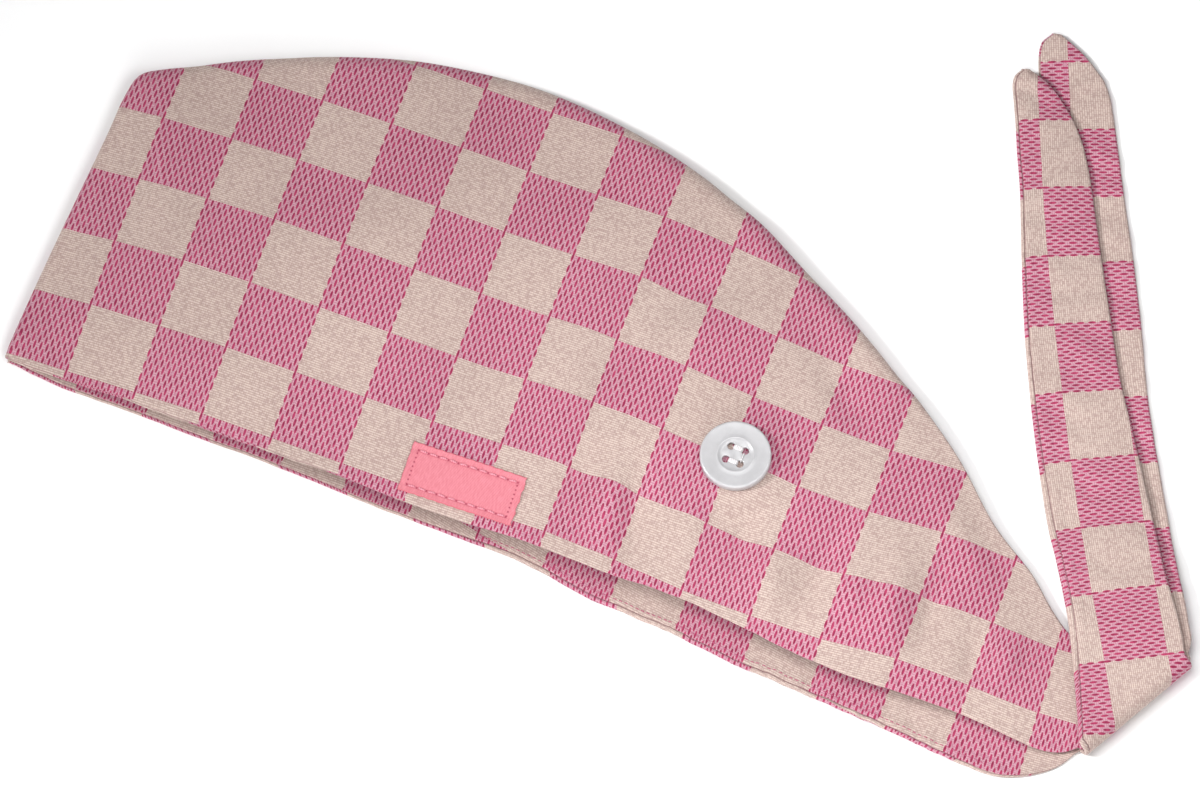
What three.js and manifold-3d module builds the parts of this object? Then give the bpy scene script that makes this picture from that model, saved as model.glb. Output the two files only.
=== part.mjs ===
import * as THREE from 'three';
import { mergeVertices } from 'three/addons/utils/BufferGeometryUtils.js';
import Module from 'manifold-3d';

const wasm = await Module();
wasm.setup();

// A tie-back scrub cap lying on its right side, folded flat at the centre front, ties folded over.
// Sizes in mm. X runs along the hem from the centre front to the folded ties,
// Y from the hem to the crown, Z up from the surface that the cap lies on.

// Cloth
const CLOTH = 1.6; // two plies of cotton with the air between them
const HALF_CLOTH = CLOTH / 2;
const LAYER_GAP = 0.5; // air between layers that lie on each other
const SEAM_GAP = 0.3; // between the two halves along the sewn edge
const SEAT_GAP = 0.3; // under a button, a label or a thread

// Both halves of the cap, one row per ruling from the hem to the edge.
// hemX, leftHemY, rightHemY: hem of the upper (left) and the lower (right) half
// edgeX, edgeY: outline of the front, the crown and the open back
// leftHemZ, leftEdgeZ: height of the upper half at its hem and at its edge
// swell: how far the upper half stands up between them
// turn: 1 where the halves are sewn together, 0 where the edge is free
const PANEL_COLUMNS = ['hemX', 'leftHemY', 'rightHemY', 'edgeX', 'edgeY', 'leftHemZ', 'leftEdgeZ', 'swell', 'turn'];
const PANEL_ROWS = [
  [3.5, -0.6, -0.7, -0.4, 6, 2.9, 4.8, 0.1, 1],
  [10, -0.9, -1.6, -0.2, 21, 3.7, 5, 1.2, 1],
  [20, -1.1, -2.4, 0.5, 45, 4.8, 5.2, 2.6, 1],
  [31, -1.1, -2.3, 1.3, 66, 6, 5.4, 3.8, 1],
  [41, -1, -2.3, 2, 84, 6.9, 5.6, 4.5, 1],
  [49, -1.2, -2.2, 2.2, 96.2, 7.5, 5.8, 4.9, 1],
  [57, -1.4, -2.2, 4, 105.4, 8, 6.2, 5.1, 1],
  [66, -1.5, -2.4, 10.5, 110.2, 8.4, 6.6, 5.3, 1],
  [76, -1.6, -2.4, 20.5, 115.2, 8.8, 7.1, 5.5, 1],
  [86, -1.6, -2.2, 31.3, 121.1, 9.1, 7.6, 5.6, 1],
  [97, -1.6, -2.6, 43.6, 126.8, 9.3, 8, 5.7, 1],
  [113, -1.2, -3, 63.6, 135.2, 9.5, 8.5, 5.8, 1],
  [129, -1.6, -3.7, 87, 142.5, 9.5, 8.8, 5.9, 1],
  [146, -1.8, -3.8, 113, 146.6, 9.5, 8.8, 6, 1],
  [160, -1.4, -4, 134, 147.4, 9.5, 8.8, 6, 1],
  [178, -0.4, -4.2, 162, 144.4, 9.4, 8.8, 5.9, 1],
  [195, -0.6, -6.5, 184.2, 139.2, 9.3, 8.8, 5.8, 1],
  [206, -0.9, -8.2, 197.5, 134.6, 9.2, 8.8, 5.7, 1],
  [217, -0.4, -8.6, 210.8, 129.8, 9, 8.7, 5.5, 1],
  [232, -0.2, -9.4, 229, 120.2, 8.7, 8.5, 5.1, 1],
  [247, -1.2, -11.2, 247, 111, 8.4, 8, 4.6, 1],
  [259, -2.4, -12.3, 258.8, 104.3, 8.1, 7.4, 4, 1],
  [269, -3.4, -12.6, 268.8, 98, 7.8, 6.8, 3.5, 0.95],
  [279, -4.2, -13.4, 279.7, 91.6, 7.4, 6, 3, 0.7],
  [294, -4.4, -14.2, 297.8, 78.4, 6.8, 4.7, 2.3, 0.2],
  [311, -3.4, -15.4, 316, 61.8, 6, 3.7, 1.5, 0],
  [326, -2.9, -16.6, 333, 50.8, 5.3, 3.2, 0.8, 0],
  [338, -3.4, -17.4, 343.4, 41.8, 4.7, 2.95, 0.4, 0],
  [348, -4.2, -16.8, 352.2, 36, 4.1, 2.9, 0.1, 0],
  [357, -4.4, -12.8, 363.5, 34.6, 3.5, 2.9, 0, 0],
  [364, -2.4, -6.9, 376.5, 37.2, 3, 2.9, 0, 0],
];

// Line over which both tails are folded back to become the ties
const CREASE = { hemX: 368.3, hemY: 1.0, edgeX: 389.0, edgeY: 41.5 };
const LEFT_CREASE_EXTRA = 1.4; // the inner tail is this much wider at the back
const LOW_TAIL_Z = { left: HALF_CLOTH + CLOTH + LAYER_GAP, right: HALF_CLOTH };
const HIGH_TAIL_Z = { left: LOW_TAIL_Z.left + CLOTH + LAYER_GAP, right: LOW_TAIL_Z.left + 2 * (CLOTH + LAYER_GAP) };

// Ties after the crease, one row per ruling: the edge that continues the hem, the other edge, the height.
const TIE_COLUMNS = ['hemX', 'hemY', 'edgeX', 'edgeY', 'z'];
const RIGHT_TIE_ROWS = [
  [363.5, 11.5, 386.4, 46.4, 7.1],
  [357.5, 24, 383, 51.8, 7.1],
  [352, 35, 378.8, 57.6, 7],
  [346.6, 44.6, 373.8, 64.4, 6.3],
  [339.2, 56.6, 366.8, 75.3, 4.9],
  [331.3, 68.9, 359.5, 86.8, 3.7],
  [317.7, 93.6, 346, 107.6, 3],
  [309.4, 110, 335.6, 123.3, 2.9],
  [301.1, 127.4, 325.6, 141, 2.9],
  [291.9, 148.8, 315.5, 159.2, 2.9],
  [282.8, 171, 305, 178.6, 2.9],
  [277.2, 183, 299.2, 188.8, 2.9],
  [272.8, 192.9, 293.7, 196.6, 2.9],
  [269.3, 200.4, 288.5, 202, 2.8],
  [267, 205.4, 283.4, 206.2, 2.7],
  [266.6, 208.6, 277.5, 209.8, 2.6],
  [267.8, 211, 271, 211.9, 2.5],
];
const LEFT_TIE_ROWS = [
  [364.6, 15, 388.9, 47.8, 5],
  [360.2, 27, 386.1, 52.6, 4.9],
  [355.6, 38, 382.3, 59.2, 4.6],
  [350.8, 48, 377.8, 66.3, 3.6],
  [345, 60.5, 371.5, 76.6, 2.2],
  [338.6, 73.5, 364.9, 88, 1.2],
  [327.6, 97, 352.7, 109, 0.8],
  [319.2, 113.5, 344.6, 123.9, 0.8],
  [310.6, 131, 335, 143.8, 0.8],
  [301.3, 151, 325.1, 163, 0.8],
  [291.5, 173.5, 314.7, 182, 0.8],
  [283, 192.5, 306.2, 198.1, 0.8],
  [277.4, 204.5, 300.1, 209.3, 0.8],
  [273.4, 212.5, 295.6, 216.2, 0.8],
  [271, 218.5, 290, 220.8, 0.8],
  [270.3, 223.2, 283.5, 224.5, 0.8],
  [272.2, 226.8, 276.1, 227.5, 0.8],
];

// Soft ridges and dents that show in the upper half: middle, run direction, half length, half width, height
const FOLD_COLUMNS = ['x', 'y', 'angle', 'length', 'width', 'height'];
const FOLD_ROWS = [
  [205, 22, 62, 26, 7, 0.9],
  [222, 14, 70, 22, 6, -0.7],
  [206, 118, 118, 16, 6, -0.8],
  [252, 88, 135, 18, 8, -0.8],
  [300, 52, 128, 26, 9, 0.6],
  [60, 62, 30, 40, 16, 0.6],
];

// Mesh steps
const STATION_SPACING = 16; // at most, along the outline
const LEG_STEPS = 12;
const EDGE_STEPS = 4;
const EDGE_ZONE = 0.1; // part of a ruling that gets the edge steps where its edge is free
const EDGE_SQUARE = 9; // a ruling turns square to a sewn edge this far before it
const CREASE_STEPS = 6;

// Buttons, one on each half behind the ear
const BUTTON = { x: 232.2, y: 48.9, radius: 11.5, thickness: 3.3, rimRound: 0.9 };
const DISH = { radius: 5.9, depth: 1.1, slope: 0.9 };
const HOLE = { radius: 1.12, offset: 2.38, sides: 12 };
const BUTTON_SIDES = 36;
const THREAD = { radius: 0.4, sides: 8 };
const DIMPLE = { flat: 19, outer: 36 }; // radii of the hollow that the lower button presses into its half

// Woven label on the upper half, just above the hem
const LABEL = { x: 153.7, y: 9.9, length: 38.6, width: 16.6, angle: 2.2, thickness: 0.8, across: 12, up: 5 };

// Middle of the whole cap on the surface, measured from the hem corner at the centre front
const ORIGIN = { x: 196, y: 105 };

const named = (columns, rows) => rows.map((row) => Object.fromEntries(columns.map((key, k) => [key, row[k]])));
const mix = (a, b, t) => a + (b - a) * t;
const smooth = (t) => t * t * (3 - 2 * t);
const clamp01 = (t) => Math.min(1, Math.max(0, t));
const FOLDS = named(FOLD_COLUMNS, FOLD_ROWS);

// Curve through the rows, with a station at least every STATION_SPACING along the outline
function throughRows(rows) {
  const keys = Object.keys(rows[0]);
  const last = rows.length - 1;
  const stations = [];
  for (let k = 0; k < last; k += 1) {
    const [a, b, c, d] = [rows[Math.max(k - 1, 0)], rows[k], rows[k + 1], rows[Math.min(k + 2, last)]];
    const steps = Math.ceil(Math.hypot(c.edgeX - b.edgeX, c.edgeY - b.edgeY) / STATION_SPACING);
    for (let step = 0; step < steps; step += 1) {
      const t = step / steps;
      const station = {};
      for (const key of keys) {
        const slopeB = (c[key] - a[key]) / 2;
        const slopeC = (d[key] - b[key]) / 2;
        const bend = mix(slopeB - (c[key] - b[key]), c[key] - b[key] - slopeC, t);
        station[key] = mix(b[key], c[key], t) + t * (1 - t) * bend;
      }
      stations.push(station);
    }
  }
  stations.push(rows[last]);
  return stations;
}

// One ruling of the panel as a station of one half
function panelStation(row, side) {
  const left = side === 'left';
  return {
    hemX: row.hemX,
    hemY: left ? row.leftHemY : row.rightHemY,
    hemZ: left ? row.leftHemZ : HALF_CLOTH,
    edgeX: row.edgeX,
    edgeY: row.edgeY,
    edgeZ: left ? row.leftEdgeZ : HALF_CLOTH,
    rim: (row.leftEdgeZ - HALF_CLOTH) / 2,
    swell: left ? row.swell : 0,
    turn: clamp01(row.turn),
  };
}

const flatStation = (hemX, hemY, edgeX, edgeY, z) => (
  { hemX, hemY, hemZ: z, edgeX, edgeY, edgeZ: z, rim: 1, swell: 0, turn: 0 }
);

// The cloth turns over the crease on a half circle.
function creaseStations(side) {
  const along = new THREE.Vector2(CREASE.edgeX - CREASE.hemX, CREASE.edgeY - CREASE.hemY).normalize();
  const extra = side === 'left' ? LEFT_CREASE_EXTRA : 0;
  const middle = (LOW_TAIL_Z[side] + HIGH_TAIL_Z[side]) / 2;
  const radius = (HIGH_TAIL_Z[side] - LOW_TAIL_Z[side]) / 2;
  const stations = [];
  for (let k = 0; k <= CREASE_STEPS; k += 1) {
    const angle = (Math.PI * k) / CREASE_STEPS;
    const out = radius * Math.sin(angle);
    stations.push(flatStation(
      CREASE.hemX + along.y * out,
      CREASE.hemY - along.x * out,
      CREASE.edgeX + along.x * extra + along.y * out,
      CREASE.edgeY + along.y * extra - along.x * out,
      middle - radius * Math.cos(angle),
    ));
  }
  return stations;
}

function stationsOf(side) {
  const crease = creaseStations(side);
  const panelRows = named(PANEL_COLUMNS, PANEL_ROWS).map((row) => panelStation(row, side));
  const panel = throughRows([...panelRows, crease[0]]);
  const tieRows = named(TIE_COLUMNS, side === 'left' ? LEFT_TIE_ROWS : RIGHT_TIE_ROWS);
  const tie = tieRows.map((row) => flatStation(row.hemX, row.hemY, row.edgeX, row.edgeY, row.z));
  return [...panel.slice(0, -1), ...crease, ...tie];
}

// Height that the soft ridges add to the upper half
function foldHeight(x, y) {
  let height = 0;
  for (const fold of FOLDS) {
    const angle = THREE.MathUtils.degToRad(fold.angle);
    const along = (x - fold.x) * Math.cos(angle) + (y - fold.y) * Math.sin(angle);
    const across = (y - fold.y) * Math.cos(angle) - (x - fold.x) * Math.sin(angle);
    height += fold.height * Math.exp(-((along / fold.length) ** 2) - (across / fold.width) ** 2);
  }
  return height;
}

// The lower button lifts the half that lies on it.
function dimpleHeight(x, y) {
  const away = Math.hypot(x - BUTTON.x, y - BUTTON.y);
  const rise = clamp01((DIMPLE.outer - away) / (DIMPLE.outer - DIMPLE.flat));
  return (BUTTON.thickness + SEAT_GAP) * smooth(rise);
}

// Points of the middle of the cloth from the hem to the edge at one station
function rulingPoints(stations, index, side) {
  const station = stations[index];
  const before = stations[Math.max(index - 1, 0)];
  const after = stations[Math.min(index + 1, stations.length - 1)];
  const hem = new THREE.Vector2(station.hemX, station.hemY);
  const edge = new THREE.Vector2(station.edgeX, station.edgeY);
  const span = hem.distanceTo(edge);
  const straight = edge.clone().sub(hem).normalize();
  const square = new THREE.Vector2(before.edgeY - after.edgeY, after.edgeX - before.edgeX).normalize();
  const out = straight.clone().lerp(square, station.turn).normalize();
  const sweep = station.turn * Math.acos(SEAM_GAP / 2 / station.rim);
  const arc = station.rim * sweep;
  const legEnd = edge.clone().addScaledVector(out, -(station.rim + HALF_CLOTH) * Math.sin(sweep));
  const guide = legEnd.clone().addScaledVector(out, -Math.min(EDGE_SQUARE, span / 3));
  const leg = new THREE.QuadraticBezierCurve(hem, guide, legEnd);
  const legLength = leg.getLength();
  const zone = mix(EDGE_ZONE * legLength, arc, station.turn);
  const total = legLength + arc;
  const marks = [];
  for (let k = 0; k < LEG_STEPS; k += 1) {
    marks.push(((total - zone) * k) / LEG_STEPS);
  }
  for (let k = 0; k <= EDGE_STEPS; k += 1) {
    marks.push(total - zone + (zone * k) / EDGE_STEPS);
  }
  const up = side === 'left' ? 1 : -1;
  const rimMiddle = station.edgeZ - up * station.rim;
  return marks.map((mark) => {
    if (mark > legLength && arc > 0) {
      const angle = (mark - legLength) / station.rim;
      const place = legEnd.clone().addScaledVector(out, station.rim * Math.sin(angle));
      return new THREE.Vector3(place.x, place.y, rimMiddle + up * station.rim * Math.cos(angle));
    }
    const t = clamp01(mark / legLength);
    const place = leg.getPointAt(t);
    const inner = Math.sin(Math.PI * t);
    const relief = side === 'left' ? foldHeight(place.x, place.y) * inner * (station.swell > 0 ? 1 : 0)
      : dimpleHeight(place.x, place.y);
    const rise = station.swell * inner + relief;
    return new THREE.Vector3(place.x, place.y, mix(station.hemZ, station.edgeZ, smooth(t)) + rise);
  });
}

// Direction of a run of points at one of them, exact to second order at its ends too
function direction(at, index, last) {
  if (index === 0) {
    return at(0).clone().multiplyScalar(-3).addScaledVector(at(1), 4).sub(at(2));
  }
  if (index === last) {
    return at(last).clone().multiplyScalar(3).addScaledVector(at(last - 1), -4).add(at(last - 2));
  }
  return at(index + 1).clone().sub(at(index - 1));
}

// Closed slab of even thickness around a grid of points
function slab(grid, halfThickness) {
  const rows = grid.length;
  const columns = grid[0].length;
  const positions = [];
  const faces = [];
  const corner = (i, j, layer) => (layer * rows + i) * columns + j;
  for (const sign of [1, -1]) {
    for (let i = 0; i < rows; i += 1) {
      for (let j = 0; j < columns; j += 1) {
        const alongI = direction((k) => grid[k][j], i, rows - 1);
        const alongJ = direction((k) => grid[i][k], j, columns - 1);
        const normal = alongI.cross(alongJ).normalize();
        positions.push(...grid[i][j].clone().addScaledVector(normal, sign * halfThickness).toArray());
      }
    }
  }
  const quad = (a, b, c, d) => faces.push(a, b, c, a, c, d);
  for (let i = 0; i < rows - 1; i += 1) {
    for (let j = 0; j < columns - 1; j += 1) {
      quad(corner(i, j, 0), corner(i + 1, j, 0), corner(i + 1, j + 1, 0), corner(i, j + 1, 0));
      quad(corner(i, j, 1), corner(i, j + 1, 1), corner(i + 1, j + 1, 1), corner(i + 1, j, 1));
    }
  }
  for (let i = 0; i < rows - 1; i += 1) {
    const end = columns - 1;
    quad(corner(i, 0, 0), corner(i, 0, 1), corner(i + 1, 0, 1), corner(i + 1, 0, 0));
    quad(corner(i, end, 0), corner(i + 1, end, 0), corner(i + 1, end, 1), corner(i, end, 1));
  }
  for (let j = 0; j < columns - 1; j += 1) {
    const end = rows - 1;
    quad(corner(0, j, 0), corner(0, j + 1, 0), corner(0, j + 1, 1), corner(0, j, 1));
    quad(corner(end, j, 0), corner(end, j, 1), corner(end, j + 1, 1), corner(end, j + 1, 0));
  }
  const geometry = new THREE.BufferGeometry();
  geometry.setAttribute('position', new THREE.Float32BufferAttribute(positions, 3));
  geometry.setIndex(faces);
  return geometry;
}

// Height of the middle of the upper half over a place, from the triangles of its grid
function heightOver(grid, x, y) {
  const weights = new THREE.Vector3();
  const place = new THREE.Vector3(x, y, 0);
  const flat = (p) => new THREE.Vector3(p.x, p.y, 0);
  let height = -Infinity;
  for (let i = 0; i < grid.length - 1; i += 1) {
    for (let j = 0; j < LEG_STEPS; j += 1) {
      const [a, b, c, d] = [grid[i][j], grid[i + 1][j], grid[i + 1][j + 1], grid[i][j + 1]];
      for (const [p, q, r] of [[a, b, c], [a, c, d]]) {
        const inside = THREE.Triangle.containsPoint(place, flat(p), flat(q), flat(r));
        if (inside && THREE.Triangle.getBarycoord(place, flat(p), flat(q), flat(r), weights)) {
          height = Math.max(height, p.z * weights.x + q.z * weights.y + r.z * weights.z);
        }
      }
    }
  }
  return height;
}

// Booleans on closed geometries
function toSolid(geometry) {
  const bare = geometry.clone();
  bare.deleteAttribute('normal');
  bare.deleteAttribute('uv');
  const merged = mergeVertices(bare);
  return new wasm.Manifold(new wasm.Mesh({
    numProp: 3,
    vertProperties: new Float32Array(merged.attributes.position.array),
    triVerts: new Uint32Array(merged.index.array),
  }));
}

function fromSolid(solid) {
  const mesh = solid.getMesh();
  const geometry = new THREE.BufferGeometry();
  geometry.setAttribute('position', new THREE.BufferAttribute(new Float32Array(mesh.vertProperties), 3));
  geometry.setIndex(new THREE.BufferAttribute(new Uint32Array(mesh.triVerts), 1));
  return geometry;
}

const HOLE_PLACES = [[-1, -1], [1, -1], [1, 1], [-1, 1]].map(([x, y]) => [x * HOLE.offset, y * HOLE.offset]);

const post = (radius, bottom, top, sides, x, y) => toSolid(
  new THREE.CylinderGeometry(radius, radius, top - bottom, sides)
    .rotateX(Math.PI / 2)
    .translate(x, y, (top + bottom) / 2),
);

// Four-hole button, back at z = 0 and dished face up
function buttonSolid() {
  const { radius, thickness, rimRound } = BUTTON;
  const floor = thickness - DISH.depth;
  const profile = [
    [0, 0],
    [radius - rimRound, 0],
    [radius - rimRound * 0.3, rimRound * 0.3],
    [radius, rimRound],
    [radius, thickness - rimRound],
    [radius - rimRound * 0.3, thickness - rimRound * 0.3],
    [radius - rimRound, thickness],
    [DISH.radius + DISH.slope, thickness],
    [DISH.radius, floor + DISH.depth * 0.4],
    [DISH.radius - DISH.slope, floor],
    [0, floor],
  ];
  const turned = new THREE.LatheGeometry(profile.map(([x, y]) => new THREE.Vector2(x, y)), BUTTON_SIDES);
  let solid = toSolid(turned.rotateX(Math.PI / 2));
  for (const [x, y] of HOLE_PLACES) {
    solid = solid.subtract(post(HOLE.radius, -1, thickness + 1, HOLE.sides, x, y));
  }
  return solid;
}

// Sewing thread: two bars across the dish, one joining them, a leg down each hole
function threadSolid() {
  const barZ = BUTTON.thickness - DISH.depth + THREAD.radius + 0.1;
  const reach = HOLE.offset + THREAD.radius;
  const side = THREAD.radius * 2;
  const bars = [
    [2 * reach, side, 0, HOLE.offset],
    [2 * reach, side, 0, -HOLE.offset],
    [side, 2 * reach, HOLE.offset, 0],
  ].map(([width, depth, x, y]) => toSolid(new THREE.BoxGeometry(width, depth, side).translate(x, y, barZ)));
  const legs = HOLE_PLACES.map(([x, y]) => post(THREAD.radius, 0, barZ, THREAD.sides, x, y));
  return [...bars, ...legs].reduce((whole, piece) => whole.add(piece));
}

// Label: a slab that follows the upper half
function labelGeometry(grid) {
  const angle = THREE.MathUtils.degToRad(LABEL.angle);
  const points = [];
  for (let i = 0; i <= LABEL.across; i += 1) {
    const row = [];
    for (let j = 0; j <= LABEL.up; j += 1) {
      const along = LABEL.length * (i / LABEL.across - 0.5);
      const up = LABEL.width * (j / LABEL.up - 0.5);
      const x = LABEL.x + along * Math.cos(angle) - up * Math.sin(angle);
      const y = LABEL.y + along * Math.sin(angle) + up * Math.cos(angle);
      row.push(new THREE.Vector3(x, y, heightOver(grid, x, y) + HALF_CLOTH + SEAT_GAP + LABEL.thickness / 2));
    }
    points.push(row);
  }
  return slab(points, LABEL.thickness / 2);
}

const MATERIALS = {
  checkCloth: { color: 0xd9a3b8, roughness: 0.9, metalness: 0 },
  plastic: { color: 0xeeeef2, roughness: 0.25, metalness: 0 },
  thread: { color: 0xf2ece6, roughness: 0.8, metalness: 0 },
  labelCloth: { color: 0xf796a8, roughness: 0.85, metalness: 0 },
};

function addPiece(group, name, geometry, materialName) {
  const material = new THREE.MeshStandardMaterial(MATERIALS[materialName]);
  material.name = materialName;
  geometry.translate(-ORIGIN.x, -ORIGIN.y, 0);
  geometry.computeVertexNormals();
  const mesh = new THREE.Mesh(geometry, material);
  mesh.name = name;
  group.add(mesh);
}

const cap = new THREE.Group();
cap.name = 'scrub_cap';

const grids = {};
for (const side of ['left', 'right']) {
  const stations = stationsOf(side);
  grids[side] = stations.map((_, index) => rulingPoints(stations, index, side));
  addPiece(cap, `side_${side}`, slab(grids[side], HALF_CLOTH), 'checkCloth');
}

// Upper button on the left half, face up; lower button under the right half, face down on the surface
const seatHeights = [0, 1, 2, 3, 4, 5, 6, 7].map((k) => heightOver(
  grids.left,
  BUTTON.x + BUTTON.radius * Math.cos((k * Math.PI) / 4),
  BUTTON.y + BUTTON.radius * Math.sin((k * Math.PI) / 4),
));
const seat = Math.max(...seatHeights) + HALF_CLOTH + SEAT_GAP;
const upward = (solid) => fromSolid(solid.translate([BUTTON.x, BUTTON.y, seat]));
const downward = (solid) => fromSolid(solid.rotate([180, 0, 0]).translate([BUTTON.x, BUTTON.y, BUTTON.thickness]));
addPiece(cap, 'button_left', upward(buttonSolid()), 'plastic');
addPiece(cap, 'button_right', downward(buttonSolid()), 'plastic');
addPiece(cap, 'thread_left', upward(threadSolid()), 'thread');
addPiece(cap, 'thread_right', downward(threadSolid()), 'thread');
addPiece(cap, 'label', labelGeometry(grids.left), 'labelCloth');

export default cap;
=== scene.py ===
"""A tie-back scrub cap of checked cotton, lying on its right side, folded flat at the centre front.

Sizes are in millimetres until a mesh is made. Places are measured from the hem corner at the centre front:
X along the hem to the folded ties, Y from the hem to the crown, Z up from the surface the cap lies on.
"""
import math

import bmesh
import bpy
import numpy as np
from mathutils import Matrix, Vector, noise
from mathutils.bvhtree import BVHTree


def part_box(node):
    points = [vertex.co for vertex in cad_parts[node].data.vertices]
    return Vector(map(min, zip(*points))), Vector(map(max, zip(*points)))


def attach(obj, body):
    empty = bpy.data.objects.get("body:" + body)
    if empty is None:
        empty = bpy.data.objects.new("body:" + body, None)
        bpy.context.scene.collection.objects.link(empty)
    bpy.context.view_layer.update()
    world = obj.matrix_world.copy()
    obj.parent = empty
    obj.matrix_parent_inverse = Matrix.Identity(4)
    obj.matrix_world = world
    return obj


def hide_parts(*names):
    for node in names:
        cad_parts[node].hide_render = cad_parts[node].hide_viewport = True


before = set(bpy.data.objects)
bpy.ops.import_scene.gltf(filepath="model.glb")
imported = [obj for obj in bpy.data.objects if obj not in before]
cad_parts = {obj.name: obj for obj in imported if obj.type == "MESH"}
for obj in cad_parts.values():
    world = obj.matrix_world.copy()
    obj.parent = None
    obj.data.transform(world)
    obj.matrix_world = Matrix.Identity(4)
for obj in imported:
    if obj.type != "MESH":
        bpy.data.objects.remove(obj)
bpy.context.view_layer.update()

MM = 0.001

# Cloth
HALF_CLOTH = 0.8  # half the thickness that the tables' heights allow for
HALF_PLIES = 0.72  # half of two plies of cotton that lie closed
LAYER_GAP = 0.5  # air between layers that lie on each other
SEAM_GAP = 0.06  # between the two halves along the sewn edge
ROLL = 0.95  # a turned edge is this deep
SEAM_ROLL = 0.55  # and this deep where the halves are sewn together
SEAM_DIP = {"depth": 0.42, "width": 0.24}  # the line where lining and outer cloth meet

# Both halves of the cap, one row per ruling from the hem to the edge:
# hem x, hem y of the upper (left) and of the lower (right) half,
# edge x and y along the front, the crown and the open back,
# height of the upper half at its hem and at its edge, how far it stands up between them,
# and 1 where the halves are sewn together, 0 where the edge is free
PANEL_ROWS = (
    (1.1, -0.4, -0.5, -0.5, 0.9, 2.45, 2.6, 0, 1),
    (2.2, -0.5, -0.6, -0.45, 2.8, 2.65, 3.6, 0.05, 1),
    (3.5, -0.6, -0.7, -0.4, 6, 2.9, 4.8, 0.1, 1),
    (10, -0.9, -1.6, -0.2, 21, 3.7, 5, 1.2, 1),
    (20, -1.1, -2.4, 0.5, 45, 4.8, 5.2, 2.6, 1),
    (31, -1.1, -2.3, 1.3, 66, 6, 5.4, 3.8, 1),
    (41, -1, -2.3, 2, 84, 6.9, 5.6, 4.5, 1),
    (49, -1.2, -2.2, 2.2, 96.2, 7.5, 5.8, 4.9, 1),
    (57, -1.4, -2.2, 4, 105.4, 8, 6.2, 5.1, 1),
    (66, -1.5, -2.4, 10.5, 110.2, 8.4, 6.6, 5.3, 1),
    (76, -1.6, -2.4, 20.5, 115.2, 8.8, 7.1, 5.5, 1),
    (86, -1.6, -2.2, 31.3, 121.1, 9.1, 7.6, 5.6, 1),
    (97, -1.6, -2.6, 43.6, 126.8, 9.3, 8, 5.7, 1),
    (113, -1.2, -3, 63.6, 135.2, 9.5, 8.5, 5.8, 1),
    (129, -1.6, -3.7, 87, 142.5, 9.5, 8.8, 5.9, 1),
    (146, -1.8, -3.8, 113, 146.6, 9.5, 8.8, 6, 1),
    (160, -1.4, -4, 134, 147.4, 9.5, 8.8, 6, 1),
    (178, -0.4, -4.2, 162, 144.4, 9.4, 8.8, 5.9, 1),
    (195, -0.6, -6.5, 184.2, 139.2, 9.3, 8.8, 5.8, 1),
    (206, -0.9, -8.2, 197.5, 134.6, 9.2, 8.8, 5.7, 1),
    (217, -0.4, -8.6, 210.8, 129.8, 9, 8.7, 5.5, 1),
    (232, -0.2, -9.4, 229, 120.2, 8.7, 8.5, 5.1, 1),
    (247, -1.2, -11.2, 247, 111, 8.4, 8, 4.6, 1),
    (259, -2.4, -12.3, 258.8, 104.3, 8.1, 7.4, 4, 1),
    (269, -3.4, -12.6, 268.8, 98, 7.8, 6.8, 3.5, 0.95),
    (279, -4.2, -13.4, 279.7, 91.6, 7.4, 6, 3, 0.7),
    (294, -4.4, -14.2, 297.8, 78.4, 6.8, 4.7, 2.3, 0.2),
    (311, -3.4, -15.4, 316, 61.8, 6, 3.7, 1.5, 0),
    (326, -2.9, -16.6, 333, 50.8, 5.3, 3.2, 0.8, 0),
    (338, -3.4, -17.4, 343.4, 41.8, 4.7, 2.95, 0.4, 0),
    (348, -4.2, -16.8, 352.2, 36, 4.1, 2.9, 0.1, 0),
    (357, -4.4, -12.8, 363.5, 34.6, 3.5, 2.9, 0, 0),
    (364, -2.4, -6.9, 376.5, 37.2, 3, 2.9, 0, 0),
)

# Line over which both tails are folded back to become the ties
CREASE = {"hem": (368.3, 1.0), "edge": (389.0, 41.5)}
LEFT_CREASE_EXTRA = 1.4  # the inner tail is this much wider at the back
LOW_TAIL_Z = {"left": 3 * HALF_CLOTH + LAYER_GAP, "right": HALF_CLOTH}
HIGH_TAIL_Z = {"left": 5 * HALF_CLOTH + 2 * LAYER_GAP, "right": 7 * HALF_CLOTH + 3 * LAYER_GAP}

# Ties after the crease, one row per ruling: the edge that continues the hem, the other edge, the height
RIGHT_TIE_ROWS = (
    (363.5, 11.5, 386.4, 46.4, 7.1),
    (357.5, 24, 383, 51.8, 7.1),
    (352, 35, 378.8, 57.6, 7),
    (346.6, 44.6, 373.8, 64.4, 6.3),
    (339.2, 56.6, 366.8, 75.3, 4.9),
    (331.3, 68.9, 359.5, 86.8, 3.7),
    (317.7, 93.6, 346, 107.6, 3),
    (309.4, 110, 335.6, 123.3, 2.9),
    (301.1, 127.4, 325.6, 141, 2.9),
    (291.9, 148.8, 315.5, 159.2, 2.9),
    (282.8, 171, 305, 178.6, 2.9),
    (277.2, 183, 299.2, 188.8, 2.9),
    (272.8, 192.9, 293.7, 196.6, 2.9),
    (269.3, 200.4, 288.5, 202, 2.8),
    (267, 205.4, 283.4, 206.2, 2.7),
    (266.6, 208.6, 277.5, 209.8, 2.6),
    (267.8, 211, 271, 211.9, 2.5),
)
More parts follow.
